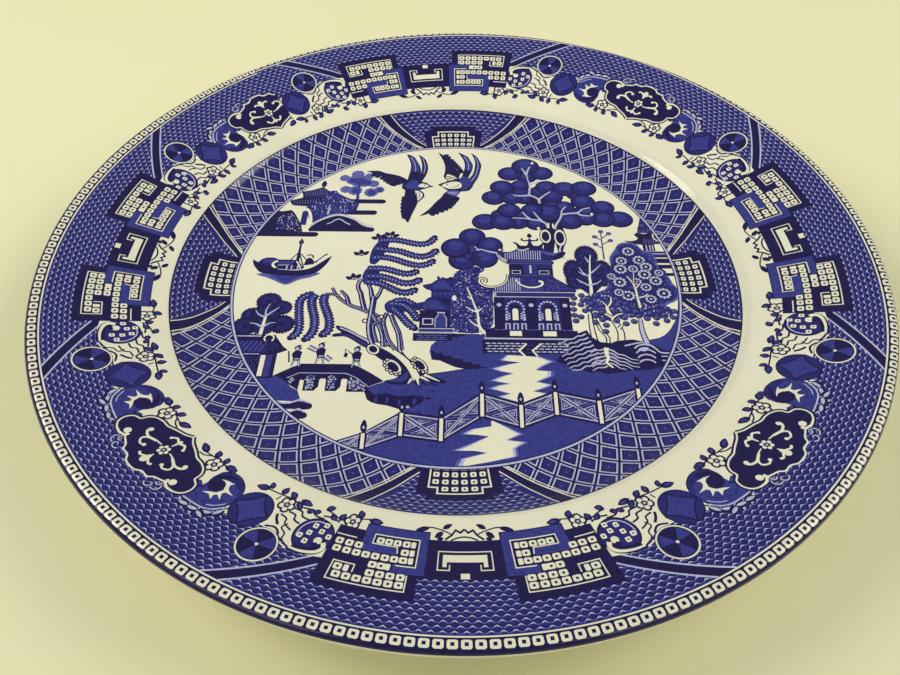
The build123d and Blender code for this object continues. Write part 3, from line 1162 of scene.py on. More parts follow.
def walkers(d):
    """The three small figures on the bridge and what they carry."""
    walker(d, -48.2, -33.9)
    d.line(NAVY, [(-50.9, -32.6), (-50.2, -37)], 0.45)
    walker(d, -41.2, -32.7)
    for path in ([(-42.6, -32.3), (-45.2, -30.8)], [(-39.8, -34.4), (-37.9, -36)]):
        d.line(NAVY, path, 1.7)
        d.line(HAZE, path, 0.95)
    walker(d, -30.3, -34.0)
    d.line(NAVY, [(-31.6, -33.6), (-34.1, -31.4), (-33.6, -34.3)], 0.4)
    d.area(NAVY, [(-34.1, -33.2), (-33, -33.2), (-33.3, -34.8), (-34.3, -34.6)])


def small_house(d):
    """The corner of a house at the left edge, behind the dark tree."""
    d.area(NAVY, [(-75, -25.6), (-56, -26.2), (-54.6, -28.4), (-52.9, -30.8), (-51.3, -32.2),
            (-53.6, -33.4), (-54.2, -33.5), (-54.2, -43), (-59, -43), (-75, -43)])
    d.area(DEEP, [(-70, -28.6), (-60.5, -28.6), (-58, -31.4), (-56.8, -33.2), (-70, -33.2)])
    flecks(d, [(-59.4, -29.4), (-55.6, -28.8), (-53.6, -31.8), (-57, -33)], (WASH,), 1.1, 0.5, 90, 0.4,
            10)
    flecks(d, [(-70, -34.8), (-59.6, -34.8), (-59.6, -42), (-66, -42)], (WASH,), 1.2, 0.6, 90, 0.4, 10)
    d.area(WASH, [(-57.2, -34.2), (-55.4, -34.2), (-55.4, -42.6), (-57.2, -42.6)])
    d.box(BARE, -59.0, -42.3, -57.5, -34.3)
    for k in range(7):
        d.line(PALE, [(-69 + 1.5 * k, -33), (-67 + 1.5 * k, -28.8)], 0.22)
    d.line(BARE, [(-72, -25.6), (-60.2, -25.6)], 0.5)
    d.line(HAZE, [(-72, -26.8), (-60.2, -26.8)], 0.42)
    d.line(BARE, arc(-57.7, -27.6, 1.45, -50, 230, 12), 0.5)
    d.line(HAZE, [(-72, -33.9), (-59.6, -33.9)], 0.3)


def serrated(x, y, radius, teeth=14, squash=1.0):
    """A round leaf outline with a toothed edge."""
    out = []
    for k in range(2 * teeth):
        t = math.pi * k / teeth
        r = radius * (1.07 if k % 2 else 0.95)
        out.append((x + r * math.cos(t), y + squash * r * math.sin(t)))
    return out


def feathered(d, x, y, radius, squash=1.0, teeth=26):
    """A dark lobe of leaves with fine strokes running out to a soft toothed edge."""
    d.area(NAVY, serrated(x, y, radius, teeth, squash))
    for k in range(2 * teeth):
        t = math.pi * (k + 0.5) / teeth
        start, end = ((0.34, 0.84), (0.5, 1.1), (0.2, 0.66))[k % 3]
        tone = (WASH, NAVY, DEEP)[k % 3]
        dx, dy = radius * math.cos(t), squash * radius * math.sin(t)
        d.line(tone, [(x + start * dx, y + start * dy), (x + end * dx, y + end * dy)], 0.2, 0.12)


def dark_tree(d):
    """The leafy dark tree at the left."""
    lobes = ((-60.3, -12.2, 4.0), (-55.8, -14.8, 3.2), (-64.6, -18.2, 3.4), (-54.8, -21.8, 4.0),
            (-66.0, -22.8, 4.0), (-60.4, -17.6, 4.6), (-60.3, -22.4, 4.0))
    for x, y, r in lobes:
        feathered(d, x, y, r, 0.95)
    d.stroke(BARE, [(-60.7, -26.2), (-60.5, -22), (-60.3, -18.5)], 1.2, 0.8)
    veins(d, (
        [(-60.3, -18.5), (-60.6, -16), (-59.7, -13)],
        [(-60.4, -23), (-58.6, -21.4), (-56.8, -21.2)],
        [(-60.3, -19), (-62.6, -17.8), (-63.9, -15.9)],
        [(-60.2, -18.4), (-58.2, -16.2), (-56.6, -14.6)],
        [(-60.5, -23.2), (-62.7, -21.8), (-64.8, -21.4)],
    ), 0.7, 0.2, HAZE)


# ---- far island -------------------------------------------------------------

def far_island(d):
    """The island with a pavilion and a pale tree, at the far left."""
    pale = ((-38.3, 54, 2.4), (-43, 51.7, 1.9), (-34, 53, 1.7), (-32, 48.5, 2.0), (-42, 45, 2.0),
            (-37, 50, 3.6), (-40, 50.4, 2.4), (-34.6, 49.2, 2.4), (-29.7, 45, 1.8), (-32.6, 43.4, 2.5),
            (-38.5, 44.4, 2.6))
    for x, y, r in pale:
        d.area(PALE, serrated(x, y, r, 9))
    for x, y, r in pale[5:]:
        d.area(WASH, serrated(x + 0.2, y - 0.2, 0.62 * r, 8))
    d.area(WASH, [(-37.8, 39), (-36.6, 39), (-37.1, 52), (-37.5, 52)])
    bar(d, NAVY, -41, -26.8, 37.1, 39.4)
    bar(d, NAVY, -41, -29.5, 30.8, 33.2)
    bar(d, NAVY, -76, -48.9, 18.9, 21.3)
    d.area(NAVY, [(-76, 20), (-62.8, 21.2), (-54.6, 21.4), (-55.2, 24), (-56.4, 27), (-58.5, 31),
            (-60, 33), (-63.6, 32.2), (-66.2, 33.5), (-70, 33)])
    shrub = [(-58.5, 31), (-57, 32), (-55.4, 33.8), (-54.6, 35.4), (-59.8, 35.6), (-60.9, 36.8),
            (-61.3, 38.3), (-57, 40), (-57.2, 42), (-57.9, 43.4), (-54, 44.5), (-50.3, 46.3),
            (-47.8, 43.9), (-45.4, 44.4), (-44, 42.4), (-42.4, 41.2), (-40.5, 40), (-38, 39),
            (-36.3, 36.8), (-37, 33), (-41, 30.6), (-45, 30.2), (-49, 28), (-51.6, 26.2), (-53.5, 29),
            (-54.2, 31.6), (-54.9, 33.3), (-56, 32)]
    d.area(DEEP, shrub)
    d.area(NAVY, [(-57.9, 43.4), (-54, 44.5), (-50.3, 46.3), (-47.8, 43.9), (-48.6, 41), (-56.6, 40.6)])
    d.area(NAVY, [(-61.3, 38.3), (-56.6, 40.2), (-50, 39.6), (-50, 37.4), (-55, 35.2), (-59.8, 35.6),
            (-60.9, 36.8)])
    stripes(d, -56.2, -48.2, 0.85, [(-57, 41.2), (-48, 41.2)],
            [(-57, 43), (-54, 44.1), (-50.3, 45.8), (-48, 44)], PALE)
    stripes(d, -59.6, -50.4, 0.95, [(-60, 36.2), (-54, 36.4), (-50, 37.8)],
            [(-60, 38.2), (-50, 39.4)], PALE)
    flecks(d, [(-53.4, 36), (-48.6, 40.6), (-45.4, 43.6), (-40.5, 39.4), (-37, 37.6), (-37.6, 33.4),
            (-43, 31), (-48.6, 28.8), (-51.4, 29.4), (-53.2, 33.6)], (PALE, HAZE, WASH), 1.15, 0.95,
            112, 0.3, 12)
    flecks(d, [(-64, 22.2), (-55.4, 22), (-57, 27), (-59.4, 31), (-62.6, 31.4), (-64, 28)],
            (PALE, WASH, HAZE), 1.1, 0.8, 130, 0.34, 25)
    d.stroke(BARE, [(-52.3, 26.8), (-52.8, 29.6), (-53.6, 32), (-54.8, 33.6), (-56.3, 32.6),
            (-58.3, 31.2)], 1.0, 1.5)
    d.area(DEEP, [(-56, 25), (-53.9, 25)] + arc(-54.95, 31.6, 1.05, 0, 180, 8))
    d.line(HAZE, [(-46.8, 36), (-46.9, 30.8)], 0.4, 0.75)
    d.area(NAVY, leaf(-50.2, 45.9, 4.3, 2.0, 90))
    mound = smooth([(-52.4, 23.4), (-50.5, 26), (-48, 28), (-45, 29.7), (-43, 30.1), (-41, 29.8),
            (-37, 27.8), (-35, 25.8), (-32.5, 24.3), (-30.4, 23.9)], steps=3)
    d.line(HAZE, [(x, y + 0.75) for x, y in mound], 0.6)
    d.area(NAVY, mound + arc(-30.8, 22.8, 1.1, 70, -90, 6) + [(-52.2, 21.7), (-52.8, 22.6)])
    d.stroke(HAZE, [(-46.6, 25.6), (-45, 26.6), (-43.7, 28.0), (-42.5, 28.3), (-41.3, 27.6),
            (-40, 26.4), (-38.3, 25.4)], 0.5)


# ---- boat -------------------------------------------------------------------

def boat(d):
    """The covered boat with its mast and one small figure."""
    d.shape(PALE, [(-66.8, 0.3), (-63, -1.3), (-60.5, -2.6), (-57, -4.5), (-54.8, -4.0), (-52.5, -2.3),
            (-49, -1.1), (-45.6, 1.1), (-52, 1.2), (-60, 1.2)], 2)
    d.area(WASH, smooth([(-63, -0.3), (-60, -1.6), (-57.2, -3.9), (-55.4, -3.5), (-53, -1.5),
            (-48.6, 0.4)], steps=2))
    for x in (-56.6, -51.6):
        d.line(NAVY, [(-54.1, 11), (x, 7.0 if x < -54 else 3.4)], 0.4)
    d.line(NAVY, [(-53.6, 10.4), (-49.6, 5.2)], 0.35)
    d.line(NAVY, [(-54.1, 5), (-54.1, 15)], 1.3, 0.6)
    d.disc(NAVY, -54.1, 16, 0.85, 12, 1.4)
    d.area(NAVY, leaf(-54.1, 16.4, 1.6, 0.7, 90))
    d.disc(PALE, -54.1, 16, 0.35, 8)
    hull = smooth([(-69, 7.3), (-68.5, 5), (-67, 2.6), (-65, 0.8), (-60, -0.1), (-55, -0.4), (-50, 0),
            (-47.6, 0.9), (-45.6, 3), (-44, 5.8), (-42.8, 9.3)], steps=3)
    rail = smooth([(-42.8, 9.3), (-44, 8.4), (-46, 6.3), (-48, 4.3), (-50, 3), (-53, 2.2), (-57, 2.2),
            (-60, 3), (-62, 4), (-65, 4.8), (-67.2, 6), (-69, 7.3)], steps=3)
    d.area(NAVY, hull + rail[1:-1])
    d.area(DEEP, [(-67.2, 5.8), (-66, 7.5), (-64.5, 8.2), (-62, 8.2), (-60.5, 7.4), (-61, 5), (-62, 4),
            (-65, 4.8)])
    d.area(WASH, [(-65.6, 6.4), (-64.6, 7.6), (-62, 7.6), (-61.4, 6.6), (-63, 5.6)])
    d.area(NAVY, [(-60.6, 7.3), (-54.4, 7.2), (-52.8, 5.4), (-51.6, 3), (-57, 2.1), (-60, 3),
            (-61.4, 4.4)])
    d.area(WASH, [(-60, 6.7), (-55, 6.7), (-55.6, 5.0), (-60.6, 5.0)])
    d.stroke(BARE, [(-60.6, 6.7), (-61.9, 5.6), (-61.9, 4.3), (-60.9, 3.4)], 0.85)
    for x in (-57.2, -55.6, -53.6):
        d.line(HAZE, [(x, 2.7), (x, 4.6)], 0.5)
    for path in ([(-60.4, 4.6), (-56.4, 4.7)], [(-60, 2.7), (-56, 2.3), (-52, 2.6)]):
        d.line(HAZE, path, 0.3)
    d.line(BARE, [(-54.4, 6.6), (-53.2, 4.6), (-52.6, 3)], 0.5)
    d.area(NAVY, [(-51.8, 4.6), (-48.4, 5.2), (-48.8, 7.2), (-50, 8.4), (-51.2, 7.8)])
    d.line(NAVY, arc(-50.2, 8.6, 1.15, -20, 150, 8), 0.5)
    d.line(NAVY, [(-48, 6.3), (-44.8, 10.2)], 0.42)
    d.area(NAVY, [(-45.3, 9.6), (-44.4, 10.8), (-44.6, 9.4)])
    d.line(NAVY, [(-51, 5), (-47.4, 6.6)], 0.7)


# ---- birds ------------------------------------------------------------------

def wing(d, right, left, core=1.6):
    """A long pointed wing: dark edges, a paler middle and a fine feather line."""
    d.two_sided(NAVY, right, left[::-1])
    middle = [((a[0] + b[0]) / 2, (a[1] + b[1]) / 2) for a, b in zip(right[1:-1], left[1:-1])]
    d.stroke(WASH, middle, 0.4 * core, core)
    d.stroke(HAZE, middle, 0.2)


def feather_tips(d, path, angle):
    """Pointed feather tips in a row along the trailing edge of a wing."""
    for x, y in smooth(path, steps=2):
        d.area(NAVY, leaf(x, y, 2.5, 2.2, angle))


def left_bird(d):
    """The bird at the left, its head to the right."""
    feather_tips(d, [(-31.4, 54.6), (-28, 52.6), (-25.6, 50.2), (-23.6, 48.8)], 215)
    d.two_sided(NAVY, [(-35.4, 56), (-31, 56.4), (-28, 55), (-25, 54.2), (-22, 52.9), (-20, 51.3),
            (-18.3, 49.6)],
            [(-19.6, 48.6), (-22.5, 47.8), (-24.6, 48.3), (-27, 51), (-30, 53.3), (-35.4, 56)])
    d.stroke(HAZE, [(-22.6, 47.9), (-19.6, 49.2), (-17.4, 49.6)], 0.6)
    wing(d, [(-20.8, 67), (-18.2, 65.6), (-16.4, 62), (-15.3, 59), (-14.9, 56.2), (-15.2, 50.5)],
            [(-20.8, 67), (-20.1, 65), (-19.2, 62), (-18.8, 59), (-19, 56), (-19.8, 50.5)], 3.2)
    wing(d, [(-16.2, 66.8), (-13.9, 64.4), (-12.7, 61.2), (-12.3, 57.6), (-12.9, 54), (-14.6, 49.3)],
            [(-16.2, 66.8), (-15.6, 64.8), (-14.9, 61.8), (-14.6, 58.8), (-14.8, 55.6), (-16.2, 50.2)],
            1.1)
    d.shape(NAVY, [(-21.4, 48.2), (-20.4, 50.2), (-17.4, 50.6), (-14.5, 50), (-12.3, 49.2), (-11.4, 48),
            (-9.9, 47.3), (-11.7, 46.6), (-13.2, 45.8), (-16, 44.7), (-19.5, 44.8), (-21.4, 46)])
    d.shape(WASH, [(-20.4, 47.8), (-19, 49.8), (-17, 51), (-15.4, 49.4), (-14.4, 47), (-16, 45.6),
            (-19.4, 45.8)])
    d.shape(BARE, [(-15.6, 47.2), (-14.4, 48.9), (-12.6, 48.4), (-11.6, 47.4), (-13.2, 46.6)])
    d.disc(NAVY, -13.2, 48, 0.3, 8)
    feather_tips(d, [(-19.8, 41.5), (-20, 38), (-19.8, 34), (-19.2, 31)], 245)
    d.two_sided(NAVY, [(-20.2, 45.5), (-20.4, 40.5), (-20.4, 36), (-20.2, 32), (-19.7, 29),
            (-18.3, 26.6)],
            [(-17.7, 28.6), (-16.9, 32), (-15.9, 35.5), (-15.4, 38.5), (-16, 41.5), (-16.8, 45)])
    d.stroke(NAVY, [(-15.6, 45), (-13.8, 43.4), (-13.5, 41.2), (-15.4, 38.2)], 0.6)
    for path in ([(-16.2, 44), (-15.6, 40)], [(-15, 43.6), (-14.8, 40.6)]):
        d.line(PALE, path, 0.3)


def right_bird(d):
    """The bird at the right, its head to the left."""
    feather_tips(d, [(-6.6, 65.4), (-4.6, 62.4), (-3.2, 60), (-1.8, 57.6), (-0.9, 55.4)], 40)
    d.two_sided(NAVY, [(-8.8, 68.4), (-5.2, 64.8), (-4, 62), (-2.6, 60), (-1.5, 57.2), (-0.2, 55.6),
            (-1, 51)],
            [(-4.6, 50), (-6.3, 53), (-6, 55.5), (-5.9, 58.5), (-6.3, 61.5), (-7.4, 65), (-8.8, 68.4)])
    d.shape(BARE, [(-5.4, 53.8), (-4.6, 54.6), (-2.2, 53.2), (-1.2, 51.2), (-3.4, 50.6), (-5.2, 51.4)])
    for path in ([(-5.2, 53.4), (-3.2, 52.6), (-1.6, 51.6)], [(-5.2, 52.2), (-3.4, 51.6)]):
        d.stroke(NAVY, path, 0.45)
    wing(d, [(-1.2, 68.5), (2.3, 66), (3.5, 63.4), (4.5, 60.6), (4.2, 57), (2.2, 51)],
            [(-1.2, 68.5), (0, 66), (1, 63.5), (1.5, 60.5), (1.3, 57.5), (0.1, 51.5)], 2.6)
    wing(d, [(3.8, 68.2), (6.1, 65.6), (7.4, 62), (7.7, 59.8), (7.3, 57), (6.5, 53), (4.4, 47.8),
            (3.2, 45)],
            [(3.8, 68.2), (4.7, 65.6), (5.4, 62), (5.3, 59.5), (5, 57.2), (4.2, 54), (1.8, 50.4),
            (0.5, 47)], 1.8)
    d.shape(NAVY, [(-8.3, 48.3), (-6.3, 49.6), (-4.5, 50.6), (-2, 51.6), (1, 52.6), (3.4, 51.4),
            (4.6, 48.2), (3.2, 45.3), (1, 44.5), (-2, 44.8), (-5, 45.2), (-6.8, 47.2)])
    d.shape(WASH, [(-0.6, 51.4), (1.4, 53.6), (3.4, 51.6), (3.8, 48.4), (2.4, 45.9), (0.2, 45.5),
            (1, 48.4)])
    d.shape(BARE, [(-6.9, 48.1), (-4.6, 49.6), (-1.8, 50.3), (0.2, 49.2), (0, 46.6), (-3.6, 45.9),
            (-5.6, 46.6)])
    d.disc(NAVY, -4.9, 48.4, 0.3, 8)
    d.stroke(PALE, [(-3.4, 46.8), (-1.6, 47.4), (-0.6, 48.6)], 0.3)
    feather_tips(d, [(-10.6, 32.6), (-7.4, 34.4), (-4.6, 36.6), (-3.2, 39), (-2, 41.4)], 305)
    d.two_sided(NAVY, [(0.4, 44.9), (-1.3, 41.8), (-2.3, 39.6), (-3.2, 37.5), (-5.7, 34.8), (-8.2, 33),
            (-11, 31.8), (-14.7, 30.1)],
            [(-13, 32), (-11, 34.5), (-9, 38), (-7, 41), (-6, 43.2), (-4.6, 45)])
    d.shape(PALE, [(-5.4, 43.8), (-3.4, 45), (-0.4, 44.4), (-1.6, 41.8), (-3.6, 42.4)])
    d.stroke(HAZE, [(-4.4, 43.6), (-1.4, 43.4)], 0.4)


# ---- willow -----------------------------------------------------------------

FRONDS = (                      # path, width
    ([(-28, 17.4), (-22, 17.6), (-18, 16.6), (-14, 15.6), (-11, 16.1), (-9.3, 17.7), (-8.7, 19.2)],
        2.5),
    ([(-29, 13.4), (-24, 12.6), (-20, 11.9), (-16, 10.1), (-12.5, 9.4), (-9.5, 10.6), (-8, 12.5)], 2.6),
    ([(-29.5, 8.8), (-25, 8.9), (-21, 7.7), (-17, 5.9), (-13, 5.1), (-10, 6.2), (-8.9, 7.5)], 2.5),
    ([(-30.5, 3.4), (-25, 3.4), (-21, 2.1), (-18, 1.1), (-15.5, 1.4), (-14.2, 2.3)], 2.5),
    ([(-31, -0.2), (-26, -0.2), (-22, -1.6), (-18.5, -3.2), (-15, -3), (-13, -1.6)], 2.6),
    ([(-31, -2.6), (-26, -3.4), (-22.5, -5.4), (-19, -7.4), (-16, -7.4), (-14.3, -6.2)], 2.6),
    ([(-22.5, -12.4), (-18, -12.8), (-15, -15.6), (-13, -19)], 2.6),
    ([(-21.6, -14), (-18.6, -17), (-16, -20.6), (-13.6, -23)], 2.5),
    ([(-21, -11.4), (-17.5, -10.9), (-14.5, -12.8), (-12.8, -14.4)], 2.0),
    ([(-46.5, -8.6), (-49.3, -9.6), (-50.6, -12), (-50.4, -15), (-49.8, -19), (-49.2, -23),
        (-49.6, -25.6), (-51.2, -27.3)], 2.6),
    ([(-45.6, -8.8), (-46.9, -11), (-46.2, -15), (-45, -19), (-44.6, -23), (-45.2, -26),
        (-46.8, -27.9)], 2.7),
    ([(-42.6, -8.8), (-43.2, -11), (-42.4, -14), (-40.8, -18), (-40.0, -21.5), (-40.2, -24.4),
        (-41.8, -26)], 2.7),
)
WILLOW_BRANCHES = (             # path, width at the start and at the end
    ([(-25, -18.5), (-27, -17), (-31, -14.9), (-33.5, -13.9), (-36, -12.3), (-38, -10.5), (-39.5, -8.6),
        (-41, -5.7)], 0.9, 0.3),
    ([(-35, -12.8), (-36, -9.6), (-38.2, -6.8)], 0.7, 0.25),
    ([(-38.4, -9.4), (-40.5, -8.6), (-43, -8.5)], 0.5, 0.2),
    ([(-29.8, -15.1), (-31, -10.6), (-31.6, -8), (-32.6, -5.6), (-32.6, -3.2), (-31.6, -1.6)], 0.9,
        0.5),
    ([(-27.2, -13), (-28, -9), (-28.6, -6), (-29.8, -3.6)], 0.9, 0.4),
    ([(-27, -11), (-25.6, -8), (-25, -5)], 0.7, 0.3),
    ([(-27.2, -9.6), (-27.5, -18), (-27.6, -22), (-27, -26), (-25.8, -29.2)], 1.1, 1.5),
    ([(-27.1, -17.4), (-24.6, -22), (-23.2, -26), (-22.6, -30.6)], 0.7, 1.2),
    ([(-21.4, -17), (-20, -21), (-18.6, -24.5), (-17.9, -28), (-17.4, -31.8)], 0.7, 1.2),
    ([(-22.6, -16.4), (-23.4, -20), (-22.6, -24), (-21.3, -28), (-19, -31.6)], 0.4, 0.8),
    ([(-23.8, -19.6), (-26.4, -21.6), (-26, -25), (-25, -28.4)], 0.4, 0.6),
)


def knot(d, x, y, width, height, angle, scalloped=False):
    """A dark hollow in a trunk with a pale lip."""
    outline = circle(0, 0, 1, 16)
    for tone, size in ((NAVY, 1.32), (BARE, 1.12), (NAVY, 0.78)):
        d.area(tone, turned([(px * width * size, py * height * size) for px, py in outline], x, y,
                angle))
    if scalloped:
        for k in range(7):
            t = math.radians(80 + 32 * k)
            px, py = turned([(1.15 * width * math.cos(t), 1.15 * height * math.sin(t))], x, y, angle)[0]
            d.disc(NAVY, px, py, 0.72, 10)
            d.disc(BARE, px, py, 0.36, 8)


def willow(d):
    """The willow: trunk, knots and roots, then branches, fronds and buds."""
    d.shape(NAVY, [(-28.6, -29.2), (-26, -28.4), (-23.6, -30.4), (-20, -33.4), (-16.6, -36.6),
            (-14.2, -39.4), (-13.4, -42.4), (-15.2, -44.6), (-18.4, -44.8), (-21.6, -43.6),
            (-18.2, -42.4), (-17.4, -40.4), (-19.2, -38), (-23.2, -35.4), (-27.6, -31.4)])
    d.shape(NAVY, [(-38, -22.2), (-36.2, -22.4), (-33.4, -23.8), (-30.2, -25.9), (-26.8, -28),
            (-24.6, -31), (-26.6, -31.6), (-29.8, -29.8), (-33, -27.4), (-35.2, -26.5), (-38.4, -26.7),
            (-38.3, -25.5), (-36, -25), (-37.4, -23.6)])
    d.stroke(HAZE, [(-36.6, -23), (-33.4, -24.6), (-30.2, -26.6), (-27.4, -28.4)], 0.45, 0.7)
    d.stroke(WASH, [(-36.4, -25.9), (-33.4, -26.2), (-30.4, -28.2), (-27.4, -30)], 0.4, 0.7)
    d.shape(WASH, [(-20.6, -43.4), (-17.2, -42.2), (-14.8, -39.8), (-14.6, -41.8), (-16.2, -43.8)])
    d.shape(NAVY, [(-17.6, -31), (-15.6, -34.2), (-12.2, -38), (-9.6, -40.6), (-5, -42.6), (-3.4, -44),
            (-8, -43.8), (-12, -41), (-14.6, -38.8)])
    branch(d, [(-27.4, -28.4), (-22.4, -30.6), (-18.4, -33.4), (-15.2, -36.8), (-13.2, -40),
            (-12, -43)], 1.3, 2.4, edge=0.55)
    for path in (
        [(-13.6, -42.6), (-14.6, -44.4)],
        [(-12, -42.6), (-11.4, -44.8)],
        [(-11, -41.8), (-8.4, -43.4)],
        [(-10, -41), (-5.4, -43.4)],
    ):
        branch(d, path, 1.0, 0.3)
    for path in (
        [(-12.6, -43.6), (-12, -45.2)],
        [(-10.6, -43.6), (-8.6, -45.2)],
        [(-8.6, -44.2), (-6, -44.8)],
    ):
        d.line(NAVY, path, 0.8, 0.3)
    knot(d, -25.7, -31.5, 1.5, 1.9, 40)
    knot(d, -19.3, -38.2, 1.7, 2.9, 40, True)
    knot(d, -11.4, -37.4, 1.4, 2.7, 38, True)
    for points, start, end in WILLOW_BRANCHES:
        branch(d, points, start, end, HAZE, 0.5, DEEP)
    for x, y in ((-29.2, -20), (-24.2, -18.2)):
        d.ring(NAVY, x, y, 0.8, 0.4, 10)
    d.shape(DEEP, [(-25.4, 19.8), (-28, 16.5), (-29.8, 12), (-30, 6.4), (-28, 5.6), (-26, 9),
            (-24, 16)])
    d.shape(DEEP, [(-31.4, 1.8), (-30.2, 3.8), (-27, 3.8), (-26, -2.8), (-30.6, -3.6), (-31.8, -1.4)])
    d.shape(DEEP, [(-23.6, -13.4), (-22.4, -11.4), (-19, -10.2), (-16, -11), (-15, -13.2), (-17, -16),
            (-20, -16.6), (-22.6, -16.2)])
    flecks(d, [(-23, -13.4), (-22.2, -11.6), (-19, -10.6), (-17, -11.6), (-18, -15.6), (-22, -15.8)],
            (WASH, NAVY), 0.9, 0.5)
    flecks(d, [(-28.8, 13), (-26, 18.4), (-25, 16), (-27, 8)], (WASH, NAVY), 0.9, 0.5)
    for points, width in FRONDS:
        frond(d, points, width)
    for x, y, angle in ((-27.4, 17.8, 115), (-23.8, 19, 80), (-33, 9.4, 100), (-34.2, -2, 110)):
        bud(d, x, y, angle)
    branch(d, [(-31.4, -1.4), (-33.4, -2.2)], 0.3, 0.2, HAZE, 0.25)


# ---- trees of the main island -----------------------------------------------

GREAT_LOBES = (                 # x, y, radius
    (24.4, 53.4, 3.7), (22.6, 40.6, 3.2), (28.6, 44.6, 3.4), (14.6, 31, 3.8), (20.4, 31.4, 3.8),
    (26, 30.6, 3.6), (33.6, 37.6, 3.4), (39.4, 32.4, 3.8), (44.6, 33.6, 4.0), (49.6, 32.6, 3.6),
    (41.8, 43.2, 3.4), (31.5, 47.3, 4.0), (38, 46.5, 4.3), (45, 46.8, 4.5), (33.3, 42, 3.7),
    (44, 39.2, 4.2), (50.8, 36, 4.0), (56, 29.7, 4.5), (50, 29.5, 4.3), (44, 29.5, 3.5),
    (38.5, 28.2, 4.3), (37, 36, 3.5), (31.3, 32.8, 4.8), (25.5, 34, 3.8), (26.5, 27, 3.7),
    (20, 27.5, 3.8), (8.8, 27.6, 4.5), (15, 27.5, 4.3), (17.3, 34, 4.0), (12, 41, 4.2),
    (18.5, 41, 3.8), (22, 44.5, 3.0), (15.2, 47, 4.3), (22, 48.3, 3.3), (18.3, 55.2, 4.3),
    (30, 55.7, 4.2), (24.3, 59.8, 5.0),
)
GREAT_BRANCHES = (
    [(28.5, 38), (28, 40.5), (26.5, 41.8), (25, 43), (25.3, 46), (25.3, 49), (24.8, 52), (24.5, 55)],
    [(24.4, 54.6), (23.6, 57), (22.8, 58.8)],
    [(24.4, 54.6), (25.1, 57.4), (26, 59.6)],
    [(25.2, 42.6), (21, 42.2), (19, 42.8)],
    [(28.2, 40), (30, 42.3), (32.7, 44.9)],
    [(25.3, 49), (27, 49.4), (28.7, 51.2)],
    [(30.5, 25), (30, 27), (28, 28.5), (25.5, 29), (22.5, 29.7), (18.3, 29.9)],
    [(24.4, 29.4), (23.2, 31), (22, 33.2)],
    [(29, 27.6), (27.6, 30), (26, 33.2)],
    [(32.8, 24), (33.4, 26.2), (35, 29.5), (35.8, 32), (36, 34), (37.6, 36.4)],
    [(35.8, 32), (38.5, 32.6), (41.5, 33), (43.5, 35), (46.3, 35.9)],
    [(41.2, 33), (43, 31.6), (46.3, 31.4)],
)


def great_tree(d):
    """The great tree behind the pavilion: round masses of leaves on pale branches."""
    d.area(NAVY, [(28.2, 12), (31.6, 12), (32.4, 17), (32.6, 26), (28.6, 26), (28.6, 17)])
    d.area(NAVY, [(33.2, 12), (34.6, 12), (35.6, 16), (36.4, 20), (35.6, 26), (32.4, 26), (32.6, 17)])
    d.area(NAVY, [(26, 26), (36, 26), (37, 34), (33, 40), (26, 44), (23, 40), (24, 33)])
    for x, y, r in GREAT_LOBES:
        lobe(d, x, y, r, 0.92, random.uniform(75, 115))
    veins(d, GREAT_BRANCHES, 0.95, 0.4, HAZE)
    for x, y, w, h in ((29.4, 20.3, 1.4, 2.7), (34.3, 19.7, 1.5, 3.2)):
        for tone, size in ((NAVY, 1.5), (BARE, 1.3), (NAVY, 0.95)):
            d.disc(tone, x, y, w * size, 18, h / w)
    veins(d, ([(30.6, 24.6), (30.9, 27.4)], [(32.4, 24.8), (32.3, 27)]), 0.8, 0.5)
    d.stroke(HAZE, [(34.4, 15.6), (33.8, 13.8), (33.8, 12.4)], 0.5, 0.7)
    # Painted highlights: three small gaps in the print let the cream glaze show through, standing in
    # for lamp glints on the glaze.
    for x, y in ((27, 62), (27.2, 24.4), (46.5, 32.3)):
        d.disc(BARE, x, y, 0.55, 8, 1.4)


def round_tree(d):
    """The smaller tree with five round masses of leaves."""
    for x, y, r in (
        (4.2, 19.5, 4.4), (3.2, 12.5, 3.6), (1, 8, 4.6), (-1.5, 13.9, 4.7), (10.2, 15.2, 4.2),
        (8.3, 8.8, 4.3),
    ):
        lobe(d, x, y, r)
    d.line(NAVY, arc(4.0, 11.6, 3.4, 195, 330, 10), 0.7)
    veins(d, (
        [(12.6, 11.6), (10, 12.2), (7.5, 13.2), (6.2, 13.3), (4.9, 15)],
        [(6.6, 13.2), (5.4, 12.9)],
    ), 0.75, 0.3, HAZE)
    branch(d, [(12.3, 11.4), (13.4, 8.8), (15.8, 6.8)], 0.4, 0.4, HAZE, 0.3)


